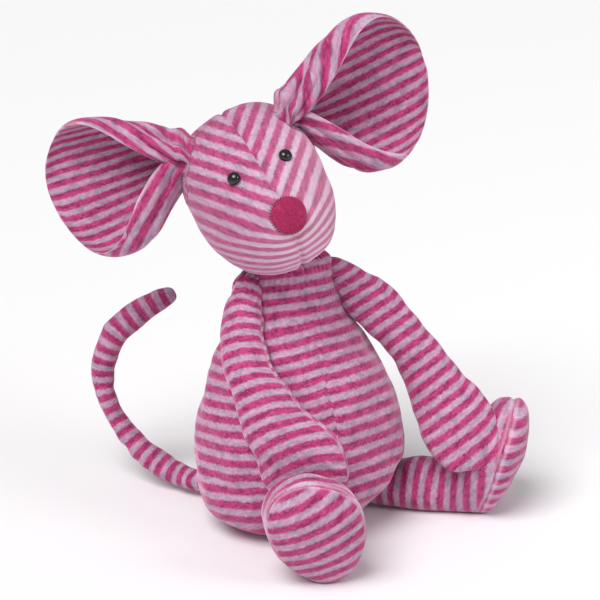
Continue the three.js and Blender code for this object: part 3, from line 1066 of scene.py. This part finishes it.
def curled(half, curl, roll, s, steps=48):
    """Follows the rolled section from the middle line out to s of the half-width."""
    across, forward = np.zeros(s.shape), np.zeros(s.shape)
    for i in range(steps):
        heading = curl * ((i + 0.5) / steps * s) ** roll
        across += np.cos(heading) * s / steps
        forward += np.sin(heading) * s / steps
    return half * across, half * forward, curl * s**roll


def ear_folds(ear, w, t, half):
    """Gathering folds the cloth near the head, and some folds run on as creases: the whole sheet moves."""
    share, times, start = FOLD.crowding
    sway = FOLD.count * np.pi * (w + share * np.sin(times * w + start)) + FOLD.lean * t
    folds = bell(t, FOLD.reach) * FOLD.height * (FOLD.middle - np.abs(np.sin(sway)) ** FOLD.sharpness)
    aside, bends = CREASE.sway
    for line, starts, ends, depth in ear.creases:
        within = ease((t - starts) / CREASE.starts_over) * ease((ends - t) / CREASE.ends_over)
        away = (w - line - aside * np.sin(bends * t)) * half
        lip = CREASE.lip * bell(np.abs(away) - CREASE.lip_at, CREASE.lip_width)
        folds = folds - depth * within * (bell(away, CREASE.width) - lip)
    return folds


def ear_skin(ear):
    angle, back, opening = (math.radians(v) for v in (ear.angle, ear.back, ear.turn))
    out = np.array([math.cos(angle) * math.cos(back), math.sin(back), math.sin(angle) * math.cos(back)])
    face = np.array(EAR.faces, float)
    face = unit(face - out * face.dot(out))
    rise = np.cross(out, face)
    rise *= np.sign(rise[2])
    root = np.array(ear.root, float)
    inward = unit(np.array(HEAD.centre) - root)
    toward = face * math.cos(opening) + rise * math.sin(opening)
    up = rise * math.cos(opening) - face * math.sin(opening)

    def place(turn, end):
        t = mix(-EAR.sewn_in, 1, station_of(end))
        share = np.clip(t, 0, 1)
        w = np.cos(turn)

        def by_edge(measure):
            return np.where(w > 0, measure(ear.top), measure(ear.low))

        grip = (1 - share) ** by_edge(lambda edge: edge.opening)
        half = by_edge(lambda edge: ear_half(edge, t))
        curl = np.radians(by_edge(lambda edge: mix(edge.curl[1], edge.curl[0], grip)))
        across, forward, heading = curled(half, curl, mix(EAR.edge_roll, EAR.root_roll, grip), np.abs(w))
        layer = EAR.thickness / 2 * np.sin(turn) * np.sqrt(np.minimum(1, half / EAR.thin_under))
        layer = layer + ear_folds(ear, w, t, half) * (1 - np.abs(w) ** FOLD.edge_fade)
        twist = math.radians(ear.twist) * t
        across = np.sign(w) * (across - layer * np.sin(heading))
        forward = forward + layer * np.cos(heading)
        bent = ease(-t / EAR.bend_within)
        up_by = across * np.cos(twist) - forward * np.sin(twist)
        toward_by = across * np.sin(twist) + forward * np.cos(twist) + ear.cup * share * share
        out_by = ear.length * mix(t, 0, bent)
        inward_by = ear.length * np.abs(t) * bent
        parts = ((out_by, out), (inward_by, inward), (up_by, up), (toward_by, toward))
        return root + sum(amount[..., None] * heading_to for amount, heading_to in parts)

    return Skin(place, around=260, rings=150, first=0.0)


# %% Ear seams, maps and pieces


def ear_maps(skin, ear):
    """The maps of the cup and of the back. Stripes run along the ear, so they count across the flat cloth.

    The gathers pull them. The back shows where the cloth folds over, and its two flaps lie otherwise.
    """
    t = mix(-EAR.sewn_in, 1, station_of(skin.wide_end()))
    w = np.cos(skin.wide_turn())
    along, across = t * ear.length, w * np.where(w > 0, ear_half(ear.top, t), ear_half(ear.low, t))
    gathers = np.sin(FOLD.count * np.pi * w * FOLD.pull_width + FOLD.pull_lean * t)
    pull = FOLD.stripe_pull * bell(np.maximum(0, t), FOLD.reach) * gathers * ease(2 - 2 * np.abs(w))
    cup = across_stripes(along, across, ear.lay)
    top = across_stripes(along, across, ear.top_lay) + pull
    low = sliced_map(skin, 0.0, ear.low_lay)[..., 1]
    back = cup
    for flap, side in ((top, w), (low, -w)):
        back = meeting(back, flap, ease((side - EAR.flap_from) / EAR.flap_over + 0.5))
    return [np.stack([along, stripe], -1) for stripe in (cup + pull, back)]


def ear_layer(turn, end):
    """0 is the cupped face and 1 the back."""
    return (np.sin(turn) < 0).astype(int)


def make_ear(name, ear, seed):
    skin = ear_skin(ear)
    edge = from_seams(skin, 0.0, np.pi)
    skin.push(uneven(skin.points, seed, EAR.lumps))
    # Painted sheen: the ear's rim is painted paler, as a highlight along its edge seam.
    skin.seam = bell(edge, SEAM.brushed)
    press(skin, head)
    return sewn(name, skin, ear_maps(skin, ear), ear_layer, velour)


ear_left = make_ear("ear_left", LEFT_EAR, 11)
ear_right = make_ear("ear_right", RIGHT_EAR, 21)

# %% [markdown]
# ## Legs
# A leg lies on the floor and ends in an upright foot, whose flat sole is a panel of its own.

# %% Leg shape
LEG = Sizes(
    hip=(9, 6), ankle=(12.8, 12.2), narrows_over=42, hip_lift=3.5, hip_round=9, settle=1.2,
    foot_half_width=21.5, foot_height=54, heel_narrowing=0.17, foot_depth=31, instep=14, sole_round=10,
    sole_squareness=2.2, toes_out=0.27,
    lumps=((0.55, 16), (0.2, 7)), stands_over=6, groove=0.9, brushed=1.2, brushed_at=1.2, brushed_width=0.8,
)
RIGHT_LEG = Sizes(
    hip=(6.6, -18), heading=-81, length=55, tilt=-0.22, sole_seam=0.8,
    layer=ringed_map, lay=Sizes(middle=(0, 0), shift=0, slope=(-0.2, 1), bend=STRAIGHT),
    sole_lay=Sizes(middle=(2.7, 30.7), shift=3.44, slope=(-0.4, 0.8), bend=(-0.002, -0.003, -0.002)),
)
LEFT_LEG = Sizes(
    hip=(22, 18.5), heading=-6, length=81, tilt=0,
    sole_seam=1.15, layer=sliced_map,
    lay=Sizes(
        middle=(81, 23), front=-1, shift=1.86, slope=(0.909, -0.063), depth=-0.344,
        bend=(-0.0023, -0.0034, 0.0018),
    ),
    sole_lay=Sizes(middle=(0, 35.2), shift=2.0, slope=(0.0, -0.95), bend=STRAIGHT),
)


def leg_axes(leg):
    angle = math.radians(leg.heading)
    return np.array([math.cos(angle), math.sin(angle), 0]), np.array([-math.sin(angle), math.cos(angle), 0])


def leg_skin(leg):
    out, side = leg_axes(leg)

    def place(turn, end):
        x = leg.length * station_of(end)
        at = np.minimum(1, x / LEG.narrows_over)
        foot = ease((x - (leg.length - LEG.foot_depth)) / LEG.instep)
        start = oval(np.maximum(0, 1 - x / LEG.hip_round), 2)
        sole = oval(np.maximum(0, (x - (leg.length - LEG.sole_round)) / LEG.sole_round), LEG.sole_squareness)
        heel = 1 + LEG.heel_narrowing * foot * np.sin(turn)
        wide = mix(mix(LEG.hip[0], LEG.ankle[0], at), LEG.foot_half_width, foot) * start * sole * heel
        tall = mix(mix(LEG.hip[1], LEG.ankle[1], at), (LEG.foot_height + LEG.settle) / 2, foot)
        height = mix(LEG.hip_lift, -LEG.settle, at) + tall * (1 + start * sole * np.sin(turn))
        out_by = x + LEG.toes_out * foot * height
        side_by = wide * np.cos(turn) + leg.tilt * foot * (height - LEG.foot_height / 2)
        points = np.array([*leg.hip, 0]) + out_by[..., None] * out + side_by[..., None] * side
        points[..., 2] = np.maximum(0, height)
        return points

    return Skin(place, around=200, rings=180, first=np.pi / 2)


# %% Leg pieces
def make_leg(name, leg, seed):
    skin = leg_skin(leg)
    out, side = leg_axes(leg)
    standing = off_floor(skin, LEG.stands_over)
    x = leg.length * station_of(skin.end)
    skin.push(standing * uneven(skin.points, seed, LEG.lumps))
    rim = leg.length - LEG.sole_round * leg.sole_seam
    ring = int(np.argmin(np.abs(x[:, 0] - rim)))
    along = skin.along()
    distance = np.abs(along - along[ring])
    skin.push(seam_groove(distance, LEG.groove) * np.ones(skin.turn.shape) * standing)
    # Painted sheen: a narrow band each side of the sole seam is painted paler, as a highlight along the
    # seam's ridge.
    brushed = LEG.brushed * bell(distance - LEG.brushed_at, LEG.brushed_width)
    skin.seam = brushed * np.ones(skin.turn.shape)
    press(skin, body)
    points = skin.wide(skin.points)
    level, tall = points @ side, points[..., 2] * math.hypot(1, LEG.toes_out)
    sole_map = np.stack([level, across_stripes(level, tall, leg.sole_lay)], -1)
    leg_map = leg.layer(skin, np.pi / 2, leg.lay)

    def leg_panel(turn, end):
        return (leg.length * station_of(end) > x[ring, 0]).astype(int)

    return skin, sewn(name, skin, [leg_map, sole_map], leg_panel, velour)


leg_left_skin, leg_left = make_leg("leg_left", LEFT_LEG, 31)
leg_right_skin, leg_right = make_leg("leg_right", RIGHT_LEG, 41)

# %% [markdown]
# ## Arms
# An arm is a soft tube along a bent line. It hangs from the shoulder, where it is gathered, and widens
# to a flat round paw. It is sewn last, so it lies against the body, the head and its own leg.

# %% Arm shape
ARM = Sizes(
    thickness=(14, 17), root_squareness=4.5, lumps=((0.5, 15), (0.25, 6)), gathers=12, gather_height=0.9,
    gather_reach=0.18, gather_lean=9, tuck_at=0.11, tuck_width=0.02, held_from=0.08, held_over=0.15,
    seam_depth=0.7, brushed=0.8,
)
RIGHT_ARM = Sizes(
    route=(
        (-13, -2, 121), (-18, -18, 103), (-15, -32, 85.5), (-4.5, -41.5, 67.5), (8, -47.2, 48), (15, -49, 28),
    ),
    half_widths=(7, 9, 10.5, 14, 19.2, 18.5), face=(-0.3, -0.9, 0.3), tucked=1.0, wrinkles=0.5,
    paw_squareness=4.5, layer=slipped_map,
    lay=Sizes(
        reach=125, slips=(-4.6, -1.3, 3.0, 5.1, 2.2), leans=(0.01, 0.11, -0.18, -0.08, 0.35), bow=-0.012,
    ),
)
LEFT_ARM = Sizes(
    route=((18, 9, 120), (39.4, 8.4, 103.2), (57, 7.2, 83.2), (70, 5, 63.4), (80, -3, 46), (84, -8, 29)),
    half_widths=(9, 10.9, 10, 12, 18, 18.8), face=(0.1, -0.95, 0.3), tucked=0.5, wrinkles=0.2,
    paw_squareness=3.7, layer=sliced_map,
    lay=Sizes(
        middle=(64, 72), front=-2, shift=2.78, slope=(0.635, -0.738), depth=-0.518, rim=3,
        bend=(0.0044, 0.0063, 0.0005),
    ),
)


def arm_skin(arm):
    line = Line(arm.route)
    toward = unit(arm.face)

    def place(turn, end):
        q = station_of(end)
        along = line.direction(q)
        across = unit(np.cross(along, toward))
        ahead = unit(np.cross(across, along))
        round_off = oval(2 * q - 1, mix(ARM.root_squareness, arm.paw_squareness, ease((q - 0.5) / 0.2)))
        wide = smooth(arm.half_widths, q) * round_off * np.cos(turn)
        thick = mix(*ARM.thickness, q) / 2 * round_off * np.sin(turn)
        return line.at(q) + wide[..., None] * across + thick[..., None] * ahead

    return Skin(place, around=160, rings=200, first=0.0), line


# %% Arm pieces
def make_arm(name, arm, seed, *neighbours):
    skin, line = arm_skin(arm)
    q = station_of(skin.end)
    gathered = bell(q, ARM.gather_reach)
    skin.push(uneven(skin.points, seed, ARM.lumps))
    skin.mark()
    sway = ARM.gathers / 2 * skin.turn + ARM.gather_lean * q + 1.5 * lumps(skin.points, 12, seed + 2)
    skin.push(ARM.gather_height * gathered * (0.6 - np.abs(np.sin(sway))))
    skin.push(-arm.tucked * bell(q - ARM.tuck_at, ARM.tuck_width) * (0.5 + 0.5 * np.cos(skin.turn)))
    on_edge = bell(from_seams(skin, 0.0, np.pi), SEAM.held)
    wrinkled(skin, np.maximum(on_edge, 1 - ease((q - ARM.held_from) / ARM.held_over)), kept=arm.wrinkles)
    sink_seam(skin, 0.0, np.pi, depth=ARM.seam_depth)
    press(skin, *neighbours)
    maps = [arm.layer(skin, np.pi / 2, arm.lay), arm.layer(skin, -np.pi / 2, arm.lay)]
    # Painted sheen: the side seams are painted paler, as a highlight along them.
    skin.seam = ARM.brushed * bell(from_seams(skin, 0.0, np.pi), SEAM.brushed)

    def arm_side(turn, end):
        return (np.sin(turn) < 0).astype(int)

    return sewn(name, skin, maps, arm_side, velour)


arm_left = make_arm("arm_left", LEFT_ARM, 51, body, head, leg_left_skin)
arm_right = make_arm("arm_right", RIGHT_ARM, 61, body, head, leg_right_skin)

# %% [markdown]
# ## Tail
# The tail is a long tube, turned and stuffed a little unevenly, on no wire. A skin of rings could be
# worked out in Python as for the limbs, but a tube that follows a path is what Geometry Nodes do well:
# a flat grid is wrapped round a smooth curve, closed at both ends, and keeps its cloth map.

# %% Tail recipe
TAIL = Sizes(
    route=(
        (-28, 14, 9.6), (-50, 31, 8), (-71, 40, 20.5), (-85.5, 45.5, 47), (-80, 46, 72.5), (-65, 46, 86.3),
        (-51, 46, 94.3),
    ),
    girth=(4.3, 5.8, 4.4, 6.2, 6.2), faces=(0, -1, 0.3), route_points=60, mean_girth=5.2,
)
tail_line = Line(TAIL.route)
tail_shares = np.linspace(0, 1, TAIL.route_points)
tail_path = path_mesh(tail_line.at(tail_shares), girth=smooth(TAIL.girth, tail_shares) * MM)
tube = Recipe(
    "stuffed tube", Rings=300, Round=64, End_roundness=4.2, Length=tail_line.length * MM,
    Mean_girth=TAIL.mean_girth * MM, Lump_height=2.6 * MM, Lump_size=8 * MM, Stripe_shift=-86.5 * MM,
    Stripe_bow=-3.0,
)
rings, sides = tube.size("Rings"), tube.size("Round")
grid_sizes = {"Size X": 1.0, "Size Y": 1.0, "Vertices X": rings, "Vertices Y": sides}
sheet = tube.node("GeometryNodeMeshGrid", None, grid_sizes)
flat_place = tube.node("ShaderNodeSeparateXYZ", None, {0: tube.node("GeometryNodeInputPosition")})
along_sheet = flat_place + 0.5
round_sheet = Value(tube, flat_place.socket.node.outputs[1])
share = (1 - (along_sheet * math.pi).math("COSINE")) * 0.5
across_tube = round_sheet * 2 * math.pi * tube.size("Mean_girth")
down_tube = share * tube.size("Length") + tube.size("Stripe_shift")
down_tube = down_tube + across_tube * across_tube * tube.size("Stripe_bow")
cloth_place = tube.vector(across_tube.math("ABSOLUTE"), down_tube, 0.0)
uv_sockets = {"Geometry": sheet, "Name": "cloth", "Value": cloth_place}
mapped = tube.node("GeometryNodeStoreNamedAttribute", {"data_type": "FLOAT2", "domain": "CORNER"}, uv_sockets)
curve = tube.node("GeometryNodeMeshToCurve", None, {"Mesh": tube.route})
sample_sockets = {"Curves": curve, "Value": tube.named("girth"), "Factor": share}
sample = tube.node("GeometryNodeSampleCurve", {"mode": "FACTOR"}, sample_sockets)
_, middle, heading, _ = (Value(tube, socket) for socket in sample.socket.node.outputs)
sideways = tube.vectors("NORMALIZE", tube.vectors("CROSS_PRODUCT", heading, TAIL.faces))
forwards = tube.vectors("CROSS_PRODUCT", sideways, heading)
angle = round_sheet * (2 * math.pi) - math.pi / 2
aside, ahead = tube.scaled(sideways, angle.math("COSINE")), tube.scaled(forwards, angle.math("SINE"))
outward = tube.vectors("ADD", aside, ahead)
inner = 1 - ((share * 2 - 1).math("ABSOLUTE")).math("POWER", tube.size("End_roundness"))
closing = inner.math("MAXIMUM", 0.0).math("POWER", 1 / tube.size("End_roundness"))
noise_place = tube.vectors("ADD", middle, tube.scaled(outward, tube.size("Mean_girth")))
unevenness = tube.noise(noise_place, tube.size("Lump_size"), 1.0) - 0.5
reach = (sample + unevenness * tube.size("Lump_height")) * closing
wrapped_place = tube.vectors("ADD", middle, tube.scaled(outward, reach))
wrapped = tube.node("GeometryNodeSetPosition", None, {"Geometry": mapped, "Position": wrapped_place})
closed = tube.node("GeometryNodeMergeByDistance", None, {"Geometry": wrapped, "Distance": 0.005 * MM})
tail_piece = tube.made("tail_cover", tail_path, closed, velour)

# %% The tail lies against the body
def press_mesh(piece, *neighbours):
    """Moves a finished mesh's points that are inside a neighbour onto it, and turns all faces outwards."""
    mesh = piece.data
    places, moved = pressed(places_in(mesh), neighbours)
    places[:, 2] = np.maximum(0, places[:, 2])
    mesh.vertices.foreach_set("co", (places * MM).ravel())
    shell = bmesh.new()
    shell.from_mesh(mesh)
    bmesh.ops.recalc_face_normals(shell, faces=shell.faces)
    shell.to_mesh(mesh)
    shell.free()
    return moved


print("tail points laid against the body:", press_mesh(tail_piece, body))

# %% [markdown]
# ## Nose
# The nose is an appliqué of a smoother red-pink velour with a little filling under it.

# %% Nose
NOSE = Sizes(half_width=7.3, half_height=7.6, stuffing=3.2, gap=0.12, aside=0.8, fullness=0.8, top_wider=0.06)
snout_surface, _, _ = surface_of(head)
straight_back = Vector(head_turn @ np.array([0, 1, 0]))


def nose_at(turn, end):
    """A round patch laid on the snout: its back touches the head, and its front is a low dome."""
    out = np.pi * end
    full = np.sin(out) ** NOSE.fullness
    wide = NOSE.half_width * full * (1 + NOSE.top_wider * np.sin(turn)) * np.cos(turn) + NOSE.aside
    tall = NOSE.half_height * full * np.sin(turn) - HEAD.snout_drop
    ahead = on_head(wide, 2 * HEAD.snout, tall)
    points = np.zeros(ahead.shape)
    for place in np.ndindex(turn.shape):
        hit, normal, _, _ = snout_surface.ray_cast(ahead[place], straight_back)
        rise = NOSE.stuffing * math.sqrt(max(0, math.cos(out[place]))) if out[place] < math.pi / 2 else 0
        points[place] = hit + normal * (rise + NOSE.gap)
    return points


def nose_velour():
    felt = Finish("nose velour")
    place = felt.node("ShaderNodeTexCoord", output=3)
    fibres = felt.noise(place, 0.5 * MM, 3, 0.65)
    patches = felt.noise(place, 4 * MM, 2)
    colour = felt.colours(fibres.smoothly(0.35, 0.65), linear(128, 18, 62), linear(172, 40, 90))
    colour = felt.colours(patches.smoothly(0.5, 0.7) * 0.25, colour, linear(214, 70, 120))
    felt.surface(Base_Color=colour, Roughness=0.85, Specular_IOR_Level=0.3)
    felt.surface(Sheen_Weight=0.3, Sheen_Roughness=0.4, Sheen_Tint=linear(255, 180, 210))
    felt.surface(Normal=felt.raised(fibres, 0.3 * MM, 0.5))
    return felt.material


nose = Skin(nose_at, around=96, rings=48)
PLAIN_LAY = Sizes(middle=(0, 0), shift=0, slope=(0, 1), bend=STRAIGHT)


def one_panel(turn, end):
    return np.zeros(len(turn), int)


nose_piece = sewn("nose", nose, [ringed_map(nose, 0.0, PLAIN_LAY)], one_panel, nose_velour())

# %% [markdown]
# The patch is stitched round its rim, and the last opening of the toy, low on its back, is closed by
# hand once it is stuffed. Stitches could be modelled one by one. Geometry Nodes put one short piece of
# thread at even steps along a path instead, each a little longer or shorter than the next.

# %% Stitch recipe
NOSE_STITCH = Sizes(length=2.0, thickness=0.42, pitch=1.25, slant=62)
BACK_STITCH = Sizes(length=2.6, thickness=0.5, pitch=3.1, slant=74, opening=(26, 74))
THREAD_SIDES = Sizes(segments=8, rings=6)


def thread(name, dark, light):
    """Two-ply cotton thread."""
    cotton = Finish(name)
    place = cotton.node("ShaderNodeTexCoord", output=3)
    ply = cotton.noise(cotton.vectors("MULTIPLY", place, (1, 1, 2.5)), 0.25 * MM, 2)
    cotton.surface(Base_Color=cotton.colours(ply.smoothly(0.35, 0.65), dark, light), Roughness=0.8)
    cotton.surface(Normal=cotton.raised(ply, 0.1 * MM, 0.5))
    return cotton.material


def stitched(name, path, stitch, material):
    """A row of stitches along a path whose points say which way the cloth faces."""
    row = Recipe(
        name.replace("_", " "), Pitch=stitch.pitch * MM, Length=stitch.length * MM,
        Thickness=stitch.thickness * MM, Slant=math.radians(stitch.slant), Seed=7,
    )
    curve = row.node("GeometryNodeMeshToCurve", None, {"Mesh": row.route})
    steps = {"Curve": curve, "Length": row.size("Pitch")}
    spaced = row.node("GeometryNodeResampleCurve", {"mode": "LENGTH"}, steps)
    ball_sizes = {"Segments": THREAD_SIDES.segments, "Rings": THREAD_SIDES.rings, "Radius": 0.5}
    ball = row.node("GeometryNodeMeshUVSphere", None, ball_sizes)
    shape = row.vector(row.size("Length"), row.size("Thickness"), row.size("Thickness"))
    turn = row.vector(0.0, 0.0, row.size("Slant"))
    piece = row.node("GeometryNodeTransform", None, {"Geometry": ball, "Scale": shape, "Rotation": turn})
    facing, tangent = row.named("facing", "FLOAT_VECTOR"), row.node("GeometryNodeInputTangent")
    axes = {"Primary Axis": facing, "Secondary Axis": tangent}
    lie = row.node("FunctionNodeAxesToRotation", {"primary_axis": "Z", "secondary_axis": "X"}, axes)
    shortest_longest = {2: 0.85, 3: 1.12, 8: row.size("Seed")}
    length = row.node("FunctionNodeRandomValue", {"data_type": "FLOAT"}, shortest_longest, output=1)
    sockets = {"Points": spaced, "Instance": piece, "Rotation": lie, "Scale": row.vector(length, 1.0, 1.0)}
    placed = row.node("GeometryNodeInstanceOnPoints", None, sockets)
    return row.made(name, path, placed, material)


# %% Nose stitches and the closed opening in the back
rim = nose.points[len(nose.points) // 2]
rim_faces = np.array([snout_surface.find_nearest(place)[1] for place in rim])
rim_path = path_mesh(rim + rim_faces * 0.1, closed=True, facing=rim_faces)
plum_thread = thread("plum thread", linear(84, 14, 44), linear(126, 28, 70))
nose_stitches = stitched("nose_stitches", rim_path, NOSE_STITCH, plum_thread)
back_column = body.points.shape[1] // 2
back_line = body.points[:, back_column]
low, high = BACK_STITCH.opening
back_rows = (back_line[:, 2] > low) & (back_line[:, 2] < high)
back_faces = body.normals()[back_rows, back_column]
back_path = path_mesh(back_line[back_rows] + back_faces * 0.15, facing=back_faces)
rose_thread = thread("rose thread", linear(168, 60, 108), linear(206, 104, 150))
back_stitches = stitched("back_stitches", back_path, BACK_STITCH, rose_thread)

# %% [markdown]
# ## Eyes
# Each eye is a small black bead, half sunk in the dent that its thread pulls.

# %% Eyes


def black_bead():
    bead = Finish("black bead")
    place = bead.node("ShaderNodeTexCoord", output=3)
    dust = bead.noise(place, 0.8 * MM, 2)
    bead.surface(Base_Color=bead.colours(dust, linear(10, 9, 12), linear(24, 20, 24)))
    bead.surface(Roughness=dust * 0.12 + 0.12, Specular_IOR_Level=0.6)
    return bead.material


def eye_skin(centre, facing):
    side = unit(np.cross(facing, (0, 0, 1)))
    up = np.cross(side, facing)

    def place(turn, end):
        away, out = np.cos(np.pi * end), np.sin(np.pi * end)
        flat = (out * np.cos(turn))[..., None] * side + (out * np.sin(turn))[..., None] * up
        return centre + EYE.radius * flat + (EYE.thickness / 2 * away)[..., None] * facing

    return Skin(place, around=40, rings=24)


bead = black_bead()
eyes = {}
for side_name, (centre, facing) in seats.items():
    skin = eye_skin(centre, facing)
    eyes[side_name] = sewn(f"eye_{side_name}", skin, [ringed_map(skin, 0.0, PLAIN_LAY)], one_panel, bead)

# %% [markdown]
# ## What rides, and what stands for what
# The mouse has no joints: its limbs are sewn on, so everything rides on the one body.

padded = {
    "body": body_piece, "head": head_piece, "ear_left": ear_left, "ear_right": ear_right,
    "leg_left": leg_left, "leg_right": leg_right, "arm_left": arm_left, "arm_right": arm_right,
    "tail": tail_piece,
}
for node, piece in padded.items():
    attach(piece, "root")
    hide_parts(node)
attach(nose_piece, "root")
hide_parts("nose")
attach(nose_stitches, "root")
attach(back_stitches, "root")
for side_name, piece in eyes.items():
    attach(piece, "root")
    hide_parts(f"eye_{side_name}")

# %% [markdown]
# ## Floor and light
# A plain pale floor fills the view. The light is that of a photographer's table: one broad lamp high on
# the left, a weaker one on the right, and a bright room.

# %% Floor
FLOOR = Sizes(half=6.0, colour=linear(244, 243, 244))
floor_mesh = bpy.data.meshes.new("floor")
corners = [(x * FLOOR.half, y * FLOOR.half, -0.2 * MM) for x, y in ((-1, -1), (1, -1), (1, 1), (-1, 1))]
floor_mesh.from_pydata(corners, [], [(0, 1, 2, 3)])
floor = bpy.data.objects.new("floor", floor_mesh)
bpy.context.scene.collection.objects.link(floor)
paper = Finish("pale paper")
grain = paper.noise(paper.node("ShaderNodeTexCoord", output=3), 3 * MM, 2)
paper.surface(Base_Color=paper.colours(grain * 0.1, FLOOR.colour, linear(236, 235, 238)), Roughness=0.9)
floor_mesh.materials.append(paper.material)

# %% Light
ROOM_STRENGTH = 0.36


def lamp(name, kind, place, power, **shape):
    light = bpy.data.lights.new(name, kind)
    light.energy = power
    for key, value in shape.items():
        setattr(light, key, value)
    holder = bpy.data.objects.new(name, light)
    holder.location = place
    holder.rotation_euler = (Vector((0, 0, 0.1)) - Vector(place)).to_track_quat("-Z", "Y").to_euler()
    bpy.context.scene.collection.objects.link(holder)


lamp("window", "SUN", (-0.5, -0.8, 1.45), 2.6, angle=math.radians(35))
lamp("fill", "AREA", (1.1, -0.7, 0.9), 5, size=0.6, shape="DISK")
room = bpy.data.worlds.new("room")
room.use_nodes = True
room.node_tree.nodes["Background"].inputs["Color"].default_value = (1, 1, 1, 1)
room.node_tree.nodes["Background"].inputs["Strength"].default_value = ROOM_STRENGTH
bpy.context.scene.world = room
bpy.context.scene.view_settings.view_transform = "Standard"

# %% [markdown]
# ## Finish
